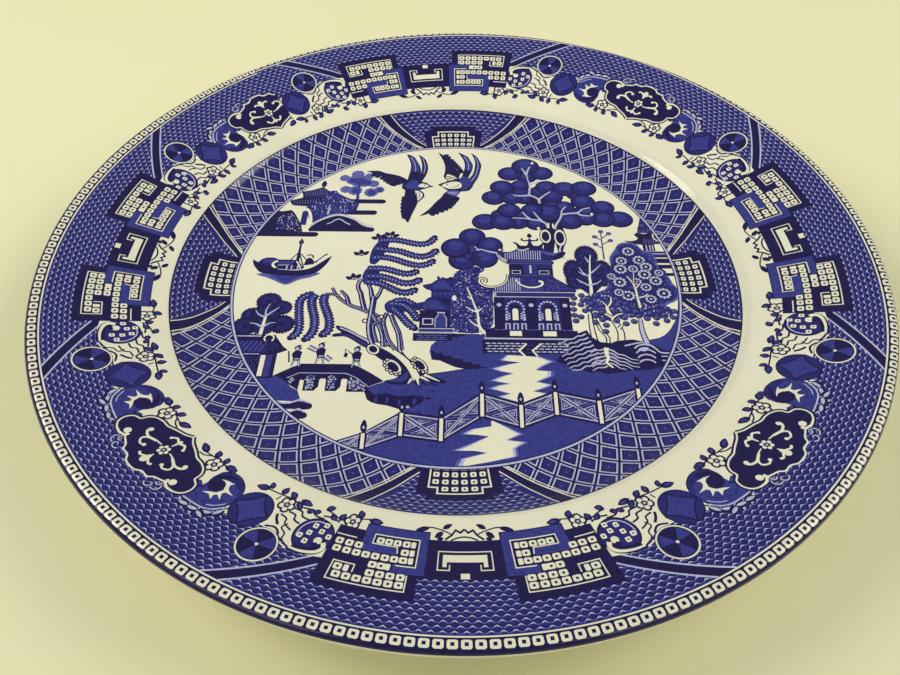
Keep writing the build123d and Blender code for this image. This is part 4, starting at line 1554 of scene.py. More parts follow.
def small_leaf_tree(d):
    """The tall tree of tiny leaves between the two pavilions."""
    outline = [(-1.8, 1.4), (-0.4, 2.8), (1.2, 4), (3.2, 3.6), (4.4, 5.4), (6, 4.6), (8.2, 4.2),
            (7.8, 2.6), (6.6, 1.8), (6, -0.8), (6.4, -3), (8, -4.6), (10.2, -5.2), (10.8, -7),
            (10.6, -10), (11, -12), (10.6, -16), (10.8, -18), (10.4, -21), (9, -23.8), (4, -24.8),
            (0, -24.4), (-2.4, -22), (-3.2, -19), (-2.8, -15.6), (-3, -11), (-2.2, -8), (-2.6, -5),
            (-1.2, -2.4), (-2.2, -0.6)]
    d.area(DEEP, outline)
    flecks(d, outline, (WASH, PALE, PALE, HAZE, NAVY, NAVY), 0.92, 0.6, 45, 0.34, 60)
    d.stroke(BARE, [(8.4, -24.8), (6.5, -22.3), (6, -19), (5.7, -15.7), (4.7, -12.5), (3.8, -9),
            (2.4, -4.8)], 0.95, 0.4)
    veins(d, (
        [(6.6, -25.2), (6.3, -22.4)],
        [(5.7, -15.7), (3.8, -14.8), (2, -13.4)],
        [(5.7, -15.6), (7.4, -13.9)],
        [(6.2, -21.8), (4.4, -20.6), (3, -18.8)],
        [(4.1, -10), (2.4, -8.8)],
    ), 0.65, 0.25)
    # Painted highlight: a small gap in the print lets the cream glaze show through, standing in for a
    # lamp's glint on the glaze.
    d.disc(BARE, -1.6, -9.7, 0.75, 10, 1.7)


def fan_tree(d):
    """The dark tree with fanned lobes right of the pavilion."""
    for x, y, r, squash in (
        (37.4, 3.2, 3.3, 1.65), (47, 3.4, 3.2, 1.6), (42.3, 10.6, 3.9, 1.3), (37.6, -1.4, 3.0, 1.3),
        (46.6, -1, 2.8, 1.0),
    ):
        feathered(d, x, y, r, squash, 30)
    heart = [(38, -3.6), (36.6, 2), (39.5, 9), (45, 9), (48.2, 2), (46.5, -3), (42.4, -8.6)]
    d.area(NAVY, heart)
    flecks(d, heart, (DEEP, WASH), 1.2, 1.1, 90, 0.3, 25)
    d.stroke(BARE, [(42.2, -8.8), (42.5, -3), (42.5, 0), (42.8, 3), (43.3, 8), (43.8, 11.2)], 1.15, 0.3)
    veins(d, (
        [(42.5, 0.6), (40.6, 2.4), (39.4, 5.2)],
        [(42.7, 2), (45, 4.3), (46.7, 6.5)],
        [(42.8, 7.6), (41.8, 10.2)],
        [(42.4, -3.7), (40, -2), (38, -0.4)],
        [(42.5, -3.1), (44.5, -2.4), (46.2, -0.9)],
        [(40, -2), (38.8, -1.8)],
        [(41, 1.4), (39, 3)],
    ), 0.7, 0.2, HAZE)


def pale_plant(d):
    """The faint plant beside the fan tree."""
    d.stroke(WASH, [(48.2, 9), (48.3, 14), (48.5, 21)], 0.55, 0.35)
    for x, y, tx, ty in (
        (48.4, 20.5, 48.6, 23), (48.5, 19.4, 51.2, 22), (48.4, 18.4, 46.2, 20.3),
        (48.4, 16.4, 51.4, 18.4), (48.3, 14.4, 46.1, 16.5),
    ):
        d.line(WASH, [(x, y), (tx, ty)], 0.4)
        d.disc(WASH, tx, ty, 0.95, 12, 0.9)
        d.disc(PALE, tx, ty, 0.55, 8)


BERRIES = (                     # x, y
    (39, -8), (36.5, -9.2), (43.5, -8), (46.8, -6.5), (46.5, -9.5), (36, -11.6), (38.5, -12.1),
    (36, -14.1), (41.5, -11.6), (44.6, -12), (36, -16.6), (38, -17.3), (36.3, -19), (42.5, -16.8),
    (42.3, -19.6), (45.5, -20.7), (45, -23.3), (44.6, -18.4), (49.6, -9.4), (52.5, -11.3),
    (54.8, -12.6), (57.5, -12), (60, -13), (62.5, -14.5), (65, -13.3), (53, -14.2), (51.5, -17.5),
    (48.7, -14.8), (51.7, -20), (54.3, -19), (56, -16.7), (58.5, -17.7), (59.6, -15.4), (61.5, -17.4),
    (61, -19.8), (64.5, -18.5), (64, -16), (66.6, -17), (67.5, -14.5), (48.9, -18.8), (57.4, -14.3),
    (55.2, -14.8), (62.4, -12.2), (50, -12), (39.6, -14.6), (41, -9.4), (39.2, -10.2), (44.6, -15.2),
)
BLOSSOMS = (                    # x, y, radius
    (56.7, 13, 2.3), (53.8, 8.4, 2.1), (59.7, 8.8, 2.3), (53, 4.4, 2.4), (61.6, 5.6, 2.3),
    (60.6, 2, 2.5), (52, -1.7, 2.4), (63.8, -0.9, 2.3), (60.2, -3.9, 2.0), (65.5, -6.6, 2.6),
    (54, -7.8, 2.4), (61, -9.2, 2.0), (57.6, -1.4, 1.8), (51.2, -6.4, 1.8), (57.2, 4.6, 1.9),
    (65.4, 2.8, 1.7), (49.6, 0.9, 1.6), (57.8, -12.4, 1.7),
)


def blossom_tree(d):
    """The tree of blossom and berries, with its pale trunk."""
    crown = smooth([(52.6, 13.4), (54, 16), (57, 17), (60, 15.8), (61.4, 13.2), (64.4, 11.6), (65.2, 8),
            (65.4, 4.4), (67.8, 1), (68.6, -2), (70, -5), (69.2, -8.6), (66, -10.6), (63.6, -12),
            (58, -12.6), (50, -11.6), (47.4, -8), (48.6, -2), (50.2, 2), (50.4, 6), (50.4, 9.6)],
            closed=True, steps=2)
    d.area(PALE, [(57.8 + 1.05 * (x - 57.8), 1.6 + 1.05 * (y - 1.6)) for x, y in crown])
    d.area(WASH, crown)
    low = [(40, -8.4), (44, -6.6), (48, -4.6), (58, -11), (66, -12.4), (68, -15), (64, -17.6),
            (56, -17), (52, -17.6), (47, -19), (42, -17.4), (39.8, -13)]
    d.area(WASH, low)
    flecks(d, crown, (NAVY, DEEP, DEEP, PALE), 1.15, 0.8, 60, 0.4, 60)
    flecks(d, low, (NAVY, DEEP, HAZE, PALE), 1.15, 0.8, 60, 0.4, 60)
    branch(d, [(44.6, -30), (45.4, -26), (43.4, -22.4), (42.6, -19), (41, -16)], 0.7, 0.4)
    branch(d, [(41.4, -28), (40.9, -22), (40.9, -16)], 1.4, 0.7)
    branch(d, [(57, -28), (56.2, -23), (56.3, -18)], 1.4, 0.8, HAZE)
    branch(d, [(49.1, -31), (49.3, -27), (49.6, -24), (49, -21), (47.9, -18), (46.8, -15),
            (46.5, -12.4)], 1.9, 1.0)
    branch(d, [(49.2, -22), (50.4, -20.4)], 0.7, 0.5)
    branch(d, [(46.6, -13), (48, -11), (48.3, -8.4)], 0.7, 0.4)
    branch(d, [(46.6, -12.6), (45.2, -10.4)], 0.5, 0.3)
    branch(d, [(47.8, -17.6), (49.4, -16.2), (51.2, -15.6)], 0.7, 0.4)
    branch(d, [(47.6, -17.4), (45.2, -15.6), (42, -14.8)], 0.7, 0.4)
    for x, y, r in BLOSSOMS:
        d.area(DEEP, serrated(x, y, 1.42 * r, 9))
    for x, y, r in BLOSSOMS:
        blossom(d, x, y, 1.16 * r, 10, random.uniform(0, 40), HAZE)
    for x, y in BERRIES:
        d.disc(NAVY, x, y, 1.12, 12)
        d.disc(PALE, x, y + 0.08, 0.72, 10)
        d.disc(DEEP, x + 0.08, y - 0.12, 0.42, 8)
    branch(d, [(57.1, -13), (56.8, -9), (56.7, -5), (56.3, -2.5), (55.5, -0.5), (54.6, 1)], 0.85, 0.35,
            BARE, 0.25)
    branch(d, [(56.4, -2.2), (57, 2), (56.9, 6)], 0.45, 0.2, HAZE, 0.2)
    branch(d, [(56.8, -8.6), (58.8, -8.2), (60.4, -6.9)], 0.6, 0.3, BARE, 0.2)
    branch(d, [(56.8, -4.4), (58, -3), (58.4, -2)], 0.5, 0.3, BARE, 0.2)


# ---- pavilions --------------------------------------------------------------

def left_pavilion(d):
    """The small two-storeyed pavilion at the water's edge."""
    d.shape(DEEP, [(-7, -1.2), (-9, -3.2), (-11.9, -4.0), (-11, -5.6), (-9.2, -6.4), (-2, -6.4),
            (-1, -3), (-2.4, -0.8)], 2)
    d.area(WASH, [(-8.4, -4), (-6.6, -2.2), (-5, -1.8), (-3.6, -3.6), (-2.4, -6), (-8.8, -5.6)])
    d.stroke(NAVY, [(-6.9, 0.1), (-6.8, -1.2), (-5.6, -0.6), (-4.2, -1.4), (-2.8, -0.5), (-2, -1.4)],
            0.75)
    d.disc(HAZE, -6.0, -0.7, 0.3, 6)
    d.box(DEEP, -9, -9.8, -1.5, -6.2)
    d.line(NAVY, [(-9.3, -6.6), (-2, -6.6)], 0.5)
    for x in (-8.2, -6.6, -5.0, -3.4):
        d.box(WASH, x, -8.6, x + 1.0, -7.1)
    d.shape(DEEP, [(-9.4, -9.4), (-11, -11.4), (-14.8, -12.7), (-12.6, -14.8), (-2, -15.2),
            (-1.5, -9.8)], 2)
    d.area(WASH, [(-11.6, -13.6), (-9.6, -10.8), (-7, -10.8), (-4, -14.6), (-11, -14.6)])
    d.area(NAVY, [(-8.4, -10), (-2, -10), (-2, -13.6), (-5, -12)])
    d.line(NAVY, [(-12.6, -15.4), (-2, -15.4)], 0.6)
    d.box(NAVY, -12.3, -24.6, -2, -15.6)
    d.line(HAZE, [(-8.2, -21.2), (-8.2, -18.8), (-11.2, -18.8), (-11.2, -21.2)], 0.42, closed=True)
    d.area(WASH, [(-7.1, -22.4), (-7.1, -18.6), (-6.2, -17), (-5.7, -16.4), (-5.1, -17), (-4.2, -18.6),
            (-4.2, -22.4)])
    d.line(HAZE, [(-7.4, -22.4), (-7.4, -18.7), (-6.4, -16.9)], 0.3)
    d.line(HAZE, [(-3.9, -22.4), (-3.9, -18.7), (-4.9, -16.9)], 0.3)
    d.line(HAZE, [(-6.9, -16.2), (-4.4, -16.2)], 0.55)
    for y, tone in ((-22.9, HAZE), (-24.4, HAZE), (-23.7, WASH)):
        d.line(tone, [(-12.5, y), (0.8, y)], 0.34 if tone == HAZE else 0.7)
    d.box(NAVY, -14, -28, -2, -24.8)
    d.area(NAVY, [(-2, -24.8), (4, -25), (-2, -26.6)])
    bricks(d, -12.8, -3.6, (-25.7, -26.5, -27.3), PALE, 1.7, 0.4, 0.34)


def horn(d, side):
    """One upturned end of the pavilion's ridge, left (-1) or right (1)."""
    middle = 23.7
    shape = [(5.8, 17.1), (4.6, 17.0), (3.6, 15.9), (3.0, 15.2), (2.6, 13.9), (3.4, 13.5), (4.2, 14.5),
            (4.6, 15.8)]
    d.shape(NAVY, [(middle + side * dx, y) for dx, y in shape])


def main_pavilion(d):
    """The large two-storeyed pavilion with its swept roofs and three columns."""
    d.area(NAVY, leaf(23.8, 19.2, 2.6, 1.7, 90))
    for side in (-1, 1):
        d.stroke(NAVY, [(23.8, 18.2), (23.8 + 1.6 * side, 17.9), (23.8 + 2.8 * side, 18.4),
                (23.8 + 2.4 * side, 19.2)], 0.75, 0.5)
    d.area(NAVY, [(22.4, 15), (23.2, 16.6), (23.4, 19), (24.2, 19), (24.4, 16.6), (25.2, 15)])
    # upper roof
    d.area(DEEP, smooth([(13.3, 12.3), (16.5, 12.1), (18.6, 13), (20, 14.4)], steps=3) + [(27.6, 14.4)]
            + smooth([(29, 13), (31.5, 11.9), (35.6, 12.4)], steps=3) + smooth([(35.6, 12.4),
            (34.2, 9.6), (31, 8.3), (30.4, 7.9)], steps=3)[1:] + smooth([(16.4, 7.8), (15.3, 8.4),
            (13.9, 9.6), (12.7, 11.6)], steps=3))
    stripes(d, 15.2, 27.6, 0.78, [(15, 8.6), (28, 8.4)],
            [(15, 11.4), (18, 12.2), (20, 13.2), (28, 12.6)], HAZE, 0.26)
    for k in range(7):
        d.stroke(PALE, [(26.6 + 0.9 * k, 13.2 - 0.35 * k), (28.4 + 0.9 * k, 11.6),
                (30.6 + 0.75 * k, 10.9 - 0.3 * k)], 0.22)
    d.shape(NAVY, [(33, 12), (35.6, 12.4), (34.8, 10.4), (33, 9), (31, 8.4)])
    d.stroke(NAVY, [(13.4, 12.1), (16.5, 12.0), (18.6, 12.9), (20, 14.2)], 0.45)
    d.ring(NAVY, 13.7, 13.2, 0.85, 0.45, 12)
    d.disc(BARE, 13.5, 13.2, 0.5, 8)
    d.area(NAVY, [(19, 13.8), (20.4, 15.4), (27, 15.4), (28.4, 13.8)])
    d.stroke(BARE, [(19.2, 13.9), (21, 13.1), (23.4, 14.1)], 0.4)
    horn(d, -1)
    horn(d, 1)
    # upper storey
    d.box(DEEP, 15.6, 6.3, 31.2, 7.9)
    for x0, x1, y in ((16.6, 30.2, 6.5), (17, 30, 7.6)):
        d.line(PALE, [(x0, y), (x1, y)], 0.26)
    d.box(NAVY, 16.3, 0, 30.7, 6.3)
    d.box(DEEP, 21, 1.2, 25.6, 6)
    for k in range(8):
        d.line(WASH, [(21.5 + 0.52 * k, 1.4), (21.5 + 0.52 * k, 5.8)], 0.2)
    d.box(DEEP, 25.8, 4.2, 30.4, 5.8)
    d.box(HAZE, 23.0, 2, 23.7, 5.7)
    for x0, x1 in ((17.3, 20), (26.2, 29.3)):
        d.line(HAZE, [(x0, 1.7), (x1, 1.7), (x1, 3.2), (x0, 3.2)], 0.26, closed=True)
    for y in (0.1, 0.9):
        d.line(PALE, [(16.6, y), (30.6, y)], 0.22)
    # lower roof
    d.area(DEEP, smooth([(15.9, 0.6), (15.4, -1.2), (14.2, -2.9), (12.4, -4.2), (10.2, -4.6),
            (8.6, -4.4)], steps=3) + [(9.4, -6.4), (11.4, -6.6), (37.4, -6.6), (37.6, -5.6)]
            + smooth([(36, -4.2), (33.4, -2), (31, -0.1)], steps=3) + [(31, 0.3)])
    stripes(d, 11.6, 19.6, 0.72, [(11, -6.2), (20, -6.2)],
            [(11, -4.8), (13, -4.2), (14.8, -2.9), (16, -1), (17, 0), (20, -0.4)], HAZE, 0.26)
    stripes(d, 20.2, 27.4, 0.8, [(20, -6.2), (28, -6.2)],
            [(20, -4.4), (23.5, -5.0), (28, -4)], PALE, 0.22)
    flecks(d, [(27.8, -0.6), (31, -0.6), (36.4, -5.2), (36, -6.2), (28, -6.2), (27.8, -3)],
            (PALE, WASH), 0.8, 0.45, 0, 0.24)
    flecks(d, [(19.4, -0.6), (25, -0.6), (25.6, -3.6), (21.4, -3.6)], (WASH, PALE), 0.9, 0.4, 0, 0.22)
    d.stroke(BARE, [(18.3, -1), (19.5, -3), (21.5, -4.3), (23.5, -4.6), (25.7, -4.1), (26.9, -3),
            (26.7, -1.9), (25.7, -1.7)], 0.5, 0.9, steps=4)
    branch(d, [(8.2, -2.6), (8.6, -1.4), (7.7, -0.6), (6.6, -1.1), (6.5, -2.6), (8, -4.1), (10, -4.6),
            (12.5, -4.2), (14.5, -2.8), (15.5, -1), (15.8, 1.4)], 0.65, 0.4, BARE, 0.35)
    # beam
    d.box(NAVY, 11.2, -9.2, 37, -6.5)
    d.line(HAZE, [(37, -6.8), (11.6, -6.8), (11.6, -8.9), (37, -8.9)], 0.36)
    for k in range(26):
        d.box(WASH, 12.4 + 0.94 * k, -8.2, 13.0 + 0.94 * k, -7.5)
    # ground floor
    d.box(DEEP, 11, -23.4, 35, -9.1)
    for shift in (0, 10.3):
        x = 17.6 + shift
        for t in range(-20, 201, 22):
            px = x + 2.75 * math.cos(math.radians(t))
            py = -14.4 + 3.5 * math.sin(math.radians(t))
            d.disc(HAZE, px, py, 0.42, 8)
        for y in (-16.8, -17.8, -18.7):
            for side in (-1, 1):
                d.disc(HAZE, x + 2.75 * side, y, 0.46, 8)
                d.disc(HAZE, x + 1.9 * side, y + 0.5, 0.34, 8)
        d.box(NAVY, x - 1.35, -19.3, x + 1.35, -12.4)
        d.area(BARE, [(x - 0.92, -19), (x + 0.92, -19), (x + 0.92, -14.6), (x + 0.5, -14),
                (x - 0.5, -14), (x - 0.92, -14.6)])
        d.box(NAVY, x - 3.4, -20.1, x + 3.4, -19.4)
        for dx in (-2.5, 0, 2.5):
            d.line(HAZE, [(x + dx - 0.62, -22.9), (x + dx - 0.62, -20.5), (x + dx + 0.62, -20.5),
                    (x + dx + 0.62, -22.9)], 0.38)
            d.box(WASH, x + dx - 0.2, -22.9, x + dx + 0.2, -21.3)
    for x0, x1 in ((11, 14.2), (21, 24.4), (31.7, 35)):
        d.box(NAVY, x0, -23.2, x1, -9.1)
        d.disc(HAZE, (x0 + x1) / 2, -12.5, 0.78, 12)
        d.stroke(PALE, [(x0 - 0.2, -22.7), ((x0 + x1) / 2, -23.2), (x1 + 0.2, -22.7)], 0.28)
    d.box(NAVY, 8.2, -26.1, 36.4, -23.2)
    d.area(NAVY, [(8.2, -23.2), (11, -22), (11, -23.4)])
    for x0, x1 in ((15.6, 19.3), (25.8, 29.9)):
        d.box(BARE, x0, -25.5, x1, -23.5)
    # terrace
    d.box(NAVY, 7.2, -32.6, 35, -26)
    d.box(HAZE, 7.6, -26.95, 34, -26.35)
    bricks(d, 8.1, 33.2, (-28.6, -29.6, -30.7, -31.8))
    d.area(NAVY, [(20.8, -28.2), (24.6, -28.2), (22, -31.2), (23.6, -33.4), (19.9, -33.4),
            (18.2, -31.2)])
    for y in (-29.3, -30.8, -32.2):
        d.line(WASH, [(20.3, y), (22.6, y)], 0.3)
    d.line(BARE, [(20.5, -28.6), (18.2, -31.3), (19.9, -33.6)], 0.6)
    d.line(BARE, [(24.9, -28.6), (22.2, -31.3), (23.6, -33.6)], 0.6)


def far_pagoda(d):
    """The building at the right edge, half hidden by the blossom."""
    d.area(NAVY, smooth([(56, 18.6), (58, 18.3), (60, 18.7), (61, 20), (59.8, 21.6), (62, 20.8),
            (66, 21.4), (70, 20)], steps=3) + [(70, 17.2), (62, 16.4), (58.4, 17)])
    stripes(d, 62.8, 69, 0.8, [(62, 17), (70, 17.4)], [(62, 20), (70, 19.6)], PALE)
    d.box(NAVY, 62, 13.4, 66, 16.8)
    for x in (63.2, 64.4, 65.3):
        d.line(HAZE, [(x, 13.6), (x, 16.4)], 0.4)
    d.shape(NAVY, [(60, 21.6), (61.4, 22.6), (63.4, 22), (66, 22.6), (70, 21.4), (70, 19.4),
            (62, 19.6)])
    d.stroke(BARE, [(67.2, 23), (66.2, 21.4), (66.6, 19.4), (67.8, 18.4)], 0.5)
    d.box(DEEP, 59, 10.6, 72, 13.2)
    d.line(HAZE, [(60, 12), (72, 12)], 0.4)
    d.box(NAVY, 64, 1.4, 72, 10.8)
    for y0, y1 in ((9.7, 10.2), (6.7, 7.5), (2.8, 4.9)):
        d.box(BARE, 65.4, y0, 72, y1)
    leaves = [(61, 22.6), (62, 26), (63, 30), (64, 33), (65.6, 36), (70, 30), (72, 22)]
    d.area(DEEP, leaves)
    flecks(d, leaves, (NAVY, PALE, WASH), 1.2, 0.8, 60, 0.4)


# ---- rocks ------------------------------------------------------------------

def rocks(d):
    """The rocks by the water, with wavy pale lines falling from three peaks."""
    d.area(NAVY, [(29, -35.6), (30, -33.5), (33, -31.6), (33.4, -28.6), (34.4, -26.6), (36, -24.4),
            (39.2, -22.8), (40.4, -25.6), (43, -27.6), (46, -28), (48, -27), (52.8, -26.4), (56, -27.2),
            (59, -28.6), (62, -30.8), (66, -31), (64, -34), (60, -37), (56, -38.2), (50, -38.7),
            (47, -39.4), (43.6, -40), (41, -39), (38.4, -39.6), (36, -38.4), (33, -37.8),
            (31.4, -36.4)])
    for k in range(8):
        y = -26.4 - 1.5 * k
        start = 38.8 + 0.62 * k
        path = [(start, y + 2.1), (start - 1.5, y + 1.2), (start - 2.6, y + 1.1),
                (start - 4.2, y - 0.1), (start - 5.6, y - 0.2), (start - 7.2, y - 1.5),
                (start - 8.6, y - 1.7), (start - 9.8, y - 2.6)]
        path = [(x, max(py, -38.6)) for x, py in path if x > 29.6 + 0.35 * k]
        d.stroke(HAZE, path, 0.55, 0.3)
    for k in range(7):
        y = -30.4 - 1.35 * k
        path = [(44.6, y), (46.2, y - 0.6), (47.6, y - 1.9), (49.4, y - 2.3), (51.2, y - 3.7),
                (53.4, y - 4.1)]
        path = [(x, py) for x, py in path if py > -38.4]
        if len(path) > 2:
            d.stroke(HAZE, path, 0.6, 0.25)
        if k < 6:
            d.stroke(HAZE, [(44, y + 0.2), (42.6, y - 0.4), (41, y - 0.5), (39.4, y - 1.6)], 0.55, 0.25)
    for k in range(4):
        d.stroke(HAZE, arc(56, -31.6 - 1.7 * k, 3.6 - 0.3 * k, 30, 150, 8, 0.9), 0.5, steps=2)
    d.stroke(HAZE, [(50, -29), (52.6, -28.2), (55.8, -27.6), (58.6, -29.2), (60.4, -31.4), (63, -31.6)],
            0.5)
    d.shape(HAZE, [(53.8, -30.6), (55.2, -29.5), (57.2, -29.7), (55.9, -31)])
    d.stroke(BARE, [(44.4, -29.8), (44.2, -32), (44.5, -34), (43.9, -35.6), (45.6, -37.6)], 1.5, 0.5,
            steps=4)
    for y in (-32.9, -34.5):
        d.line(HAZE, [(60.4, y), (65, y)], 0.4)


def scene_print(materials):
    """The whole scene, clipped to the ring round it and laid on the floor of the well."""
    d = Drawing()
    for motif in (water, left_bank, fence, small_house, dark_tree, bridge, walkers, far_island, boat,
            left_bird, right_bird, willow, far_pagoda, pale_plant, great_tree, round_tree,
            left_pavilion, small_leaf_tree, main_pavilion, fan_tree, blossom_tree, rocks):
        motif(d)
    cx, cy = WELL_OFFSET
    d.cut(circle(cx, cy, SCENE_EDGE, 180), closed=True)
    by_tone = d.cut_up(lambda x, y: np.hypot(x - cx, y - cy) < SCENE_EDGE)
    sheets = Sheets("scene")
    sheets.add(by_tone, lambda x, y: lay(np.hypot(x, y), np.arctan2(y, x)))
    return sheets.build(materials)


# =============================================================================
# materials
# =============================================================================

INKS = {                        # sRGB colours: thin ink and thick ink of each tone
    HAZE: ((202, 204, 230), (170, 174, 214)),
    PALE: ((104, 110, 180), (78, 84, 160)),
    WASH: ((62, 66, 150), (42, 44, 116)),
    DEEP: ((46, 44, 126), (30, 27, 94)),
    NAVY: ((30, 22, 84), (20, 13, 60)),
}
CREAM = (241, 239, 216)
CREAM_SHADE = (233, 230, 203)
BISCUIT = (214, 203, 178)
GLOSS = 0.09                    # roughness of the glaze


def linear(rgb):
    """A linear colour with alpha from an sRGB colour of 0 to 255."""
    out = []
    for c in rgb:
        c /= 255
        out.append(c / 12.92 if c <= 0.04045 else ((c + 0.055) / 1.055) ** 2.4)
    return (*out, 1.0)


def glaze_bump(nodes, links, shader):
    """The slow waviness of a poured glaze. Returns the node that gives places on the piece."""
    place = nodes.new("ShaderNodeTexCoord")
    wave = nodes.new("ShaderNodeTexNoise")
    wave.inputs["Scale"].default_value = 55
    wave.inputs["Detail"].default_value = 2
    bump = nodes.new("ShaderNodeBump")
    bump.inputs["Strength"].default_value = 0.12
    bump.inputs["Distance"].default_value = 0.0012
    links.new(place.outputs["Object"], wave.inputs["Vector"])
    links.new(wave.outputs["Fac"], bump.inputs["Height"])
    links.new(bump.outputs["Normal"], shader.inputs["Normal"])
    return place


def glazed(name, light, dark, grain, speckle):
    """Glazed colour that wanders between two shades, with a fine speckle in it."""
    material = bpy.data.materials.new(name)
    material.use_nodes = True
    nodes, links = material.node_tree.nodes, material.node_tree.links
    shader = nodes["Principled BSDF"]
    shader.inputs["Roughness"].default_value = GLOSS
    shader.inputs["IOR"].default_value = 1.5
    place = glaze_bump(nodes, links, shader)
    blotch = nodes.new("ShaderNodeTexNoise")
    blotch.inputs["Scale"].default_value = grain
    blotch.inputs["Detail"].default_value = 5
    blotch.inputs["Roughness"].default_value = 0.6
    fine = nodes.new("ShaderNodeTexNoise")
    fine.inputs["Scale"].default_value = 1500
    fine.inputs["Detail"].default_value = 1
    links.new(place.outputs["Object"], blotch.inputs["Vector"])
    links.new(place.outputs["Object"], fine.inputs["Vector"])
    both = nodes.new("ShaderNodeMath")
    both.operation = "MULTIPLY_ADD"
    both.inputs[1].default_value = speckle
    links.new(fine.outputs["Fac"], both.inputs[0])
    links.new(blotch.outputs["Fac"], both.inputs[2])
    ramp = nodes.new("ShaderNodeValToRGB")
    ramp.color_ramp.elements[0].position = 0.3 + 0.3 * speckle
    ramp.color_ramp.elements[0].color = linear(dark)
    ramp.color_ramp.elements[1].position = 0.7 + 0.7 * speckle
    ramp.color_ramp.elements[1].color = linear(light)
    links.new(both.outputs[0], ramp.inputs["Fac"])
    links.new(ramp.outputs["Color"], shader.inputs["Base Color"])
    return material


def biscuit_material():
    """Bare fired earthenware, matt and slightly grainy, for the foot ring's edge."""
    material = glazed("bare_biscuit", BISCUIT, (188, 172, 142), 260, 0.5)
    material.node_tree.nodes["Principled BSDF"].inputs["Roughness"].default_value = 0.85
    return material


# =============================================================================
# solid pieces
# =============================================================================

def turned_solid(name, outline, material):
    """A closed solid turned about the Z axis from a closed outline of radius and height.

    An outline that starts and ends on the axis is closed there with two flat faces.
    """
    ring = [p for p in outline if p.x > 1e-6]
    caps = len(ring) != len(outline)
    angles = np.radians(np.arange(TURNS) * 360 / TURNS)
    radii = np.array([p.x for p in ring])
    heights = np.array([p.y for p in ring])
    x = radii[:, None] * np.cos(angles)
    y = radii[:, None] * np.sin(angles)
    z = np.repeat(heights[:, None], TURNS, 1)
    points = np.stack([x, y, z], 2).reshape(-1, 3)
    count = len(ring)
    faces = []
    for i in range(count - 1 if caps else count):
        j = (i + 1) % count
        for k in range(TURNS):
            m = (k + 1) % TURNS
            faces.append((i * TURNS + k, j * TURNS + k, j * TURNS + m, i * TURNS + m))
    if caps:
        faces.append(tuple(range(TURNS)))
        faces.append(tuple(range(count * TURNS - 1, (count - 1) * TURNS - 1, -1)))
    mesh = bpy.data.meshes.new(name)
    mesh.from_pydata((points * MM).tolist(), [], faces)
    mesh.polygons.foreach_set("use_smooth", [True] * len(mesh.polygons))
    mesh.materials.append(material)
    mesh.validate()
    mesh.update()
    return in_scene(name, mesh)


def inset(path, depth):
    """A path moved to its right by a depth."""
    out = []
    for i, p in enumerate(path):
        a = path[max(i - 1, 0)]
        b = path[min(i + 1, len(path) - 1)]
        t = (b - a).normalized()
        out.append(p + Vector((t.y, -t.x)) * depth)
    return out


def plate_body():
    """The glaze coat over front and back, the glaze inside the foot ring, and the bare foot."""
    glaze = glazed("clear_glaze", CREAM, CREAM_SHADE, 40, 0.15)
    front = rounded(FRONT_CORNERS, (0.0, FLOOR_Z), LIP_SEAM, step=LIP_STEP)
    coat = divided(front, LONGEST_FACET) + divided(BACK, LONGEST_FACET)[1:]
    under = inset(coat, GLAZE)
    under[0].x = coat[0].x = 0.0
    coat_piece = turned_solid("glaze_coat", coat + under[::-1], glaze)
    recess = rounded([FOOT_ROOT_INNER], FOOT_SEAM_INNER, (0.0, RECESS_Z), step=0.2)
    base = divided(recess, LONGEST_FACET)
    over = inset(base, GLAZE)
    over[-1].x = base[-1].x = 0.0
    base_piece = turned_solid("glaze_base", base + over[::-1], glaze)
    foot = rounded([FOOT_TIP_OUTER, FOOT_TIP_INNER], FOOT_SEAM_OUTER, FOOT_SEAM_INNER, step=0.15)
    body = [Vector((0.0, FLOOR_Z - 2 * GLAZE))] + inset(under[1:-1], CLEARANCE)
    body += foot + inset(over[1:-1], CLEARANCE)
    body.append(Vector((0.0, RECESS_Z + 2 * GLAZE)))
    foot_piece = turned_solid("biscuit_foot", body, biscuit_material())
    return coat_piece, base_piece, foot_piece


# =============================================================================
# stage
# =============================================================================
# Places and sizes on the stage are in metres.

FLOOR_SIZE = 12.0
FLOOR_DARK, FLOOR_LIGHT = (232, 229, 184), (240, 238, 196)
SURROUND = (0.93, 0.97, 1.0, 1.0)
SURROUND_STRENGTH = 0.245
WARM_WHITE = (1.0, 0.95, 0.82)
SOFT_WHITE = (1.0, 0.97, 0.88)
CAMERA_PLACE = (0.0, -0.1809, 0.1832)
CAMERA_TURNS = (41.24, 0.05, 0.94)      # degrees about X, Y and Z
LENS = 30.8                     # focal length in millimetres
SENSOR = 36.0                   # width in millimetres


def floor():
    """The plain pale surface that the plate lies on."""
    material = bpy.data.materials.new("floor_paint")
    material.use_nodes = True
    nodes, links = material.node_tree.nodes, material.node_tree.links
    shader = nodes["Principled BSDF"]
    shader.inputs["Roughness"].default_value = 0.55
    place = nodes.new("ShaderNodeTexCoord")
    noise = nodes.new("ShaderNodeTexNoise")
    noise.inputs["Scale"].default_value = 6
    noise.inputs["Detail"].default_value = 4
    ramp = nodes.new("ShaderNodeValToRGB")
    ramp.color_ramp.elements[0].color = linear(FLOOR_DARK)
    ramp.color_ramp.elements[1].color = linear(FLOOR_LIGHT)
    links.new(place.outputs["Object"], noise.inputs["Vector"])
    links.new(noise.outputs["Fac"], ramp.inputs["Fac"])
    links.new(ramp.outputs["Color"], shader.inputs["Base Color"])
    mesh = bpy.data.meshes.new("floor")
    half = FLOOR_SIZE / 2
    corners = [(-half, -half, 0), (half, -half, 0), (half, half, 0), (-half, half, 0)]
    mesh.from_pydata(corners, [], [(0, 1, 2, 3)])
    mesh.materials.append(material)
    piece = in_scene("floor", mesh)


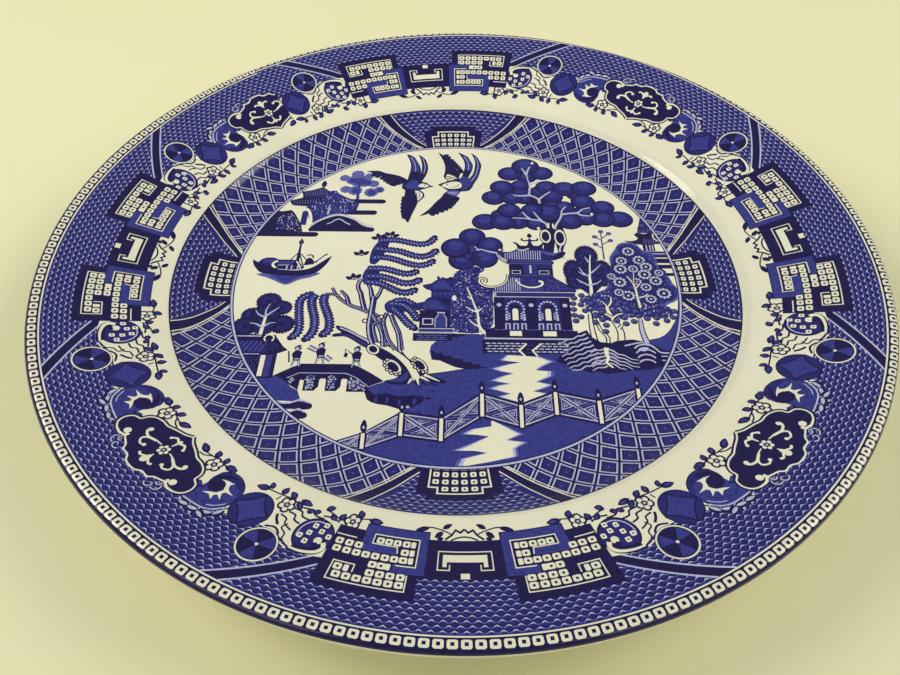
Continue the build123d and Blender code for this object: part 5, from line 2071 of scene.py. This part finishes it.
def lamp(name, location, target, size, power, colour, spread):
    """A soft square lamp that points at a place, its beam spread over some degrees."""
    data = bpy.data.lights.new(name, "AREA")
    data.shape = "SQUARE"
    data.spread = math.radians(spread)
    data.size = size
    data.energy = power
    data.color = colour
    piece = in_scene(name, data)
    piece.location = location
    aim = Vector(target) - Vector(location)
    piece.rotation_euler = aim.to_track_quat("-Z", "Y").to_euler()


def studio():
    """Two soft lamps on the near side, two beamed in from the sides, and a dim even surround."""
    world = bpy.data.worlds.new("surround")
    bpy.context.scene.world = world
    world.use_nodes = True
    background = world.node_tree.nodes["Background"]
    background.inputs["Color"].default_value = SURROUND
    background.inputs["Strength"].default_value = SURROUND_STRENGTH
    for side, power in ((-1, 2.8), (1, 2.75)):
        lamp("near_light", location=(0.9 * side, -0.8, 1.0), target=(0, 0, 0), size=0.9, power=power,
                colour=WARM_WHITE, spread=180)
    for side, power in ((-1, 2.9), (1, 2.35)):
        lamp("side_light", location=(1.0 * side, 0.2, 0.9), target=(0, 0.3, 0), size=0.7, power=power,
                colour=SOFT_WHITE, spread=90)
    bpy.context.scene.view_settings.view_transform = "Standard"


def camera():
    """The camera, close above the near side of the plate."""
    data = bpy.data.cameras.new("camera")
    data.sensor_width = SENSOR
    data.lens = LENS
    data.clip_start = 0.01
    piece = in_scene("camera", data)
    piece.location = CAMERA_PLACE
    piece.rotation_euler = [math.radians(turn) for turn in CAMERA_TURNS]
    bpy.context.scene.camera = piece


# =============================================================================
# everything together
# =============================================================================

camera()
floor()
studio()

coat_piece, base_piece, foot_piece = plate_body()
inks = {tone: glazed("ink_" + tone, light, dark, 900, 0.5) for tone, (light, dark) in INKS.items()}
rim_pieces = rim_border(inks)
well_pieces = well_border(inks)
scene_pieces = scene_print(inks)

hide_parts("main_glaze")
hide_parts("base_glaze")
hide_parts("biscuit_body")
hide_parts("rim_border_print")
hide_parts("well_border_print")
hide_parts("centre_scene_print")
prints = (*rim_pieces.values(), *well_pieces.values(), *scene_pieces.values())
for piece in (coat_piece, base_piece, foot_piece, *prints):
    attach(piece, "root")
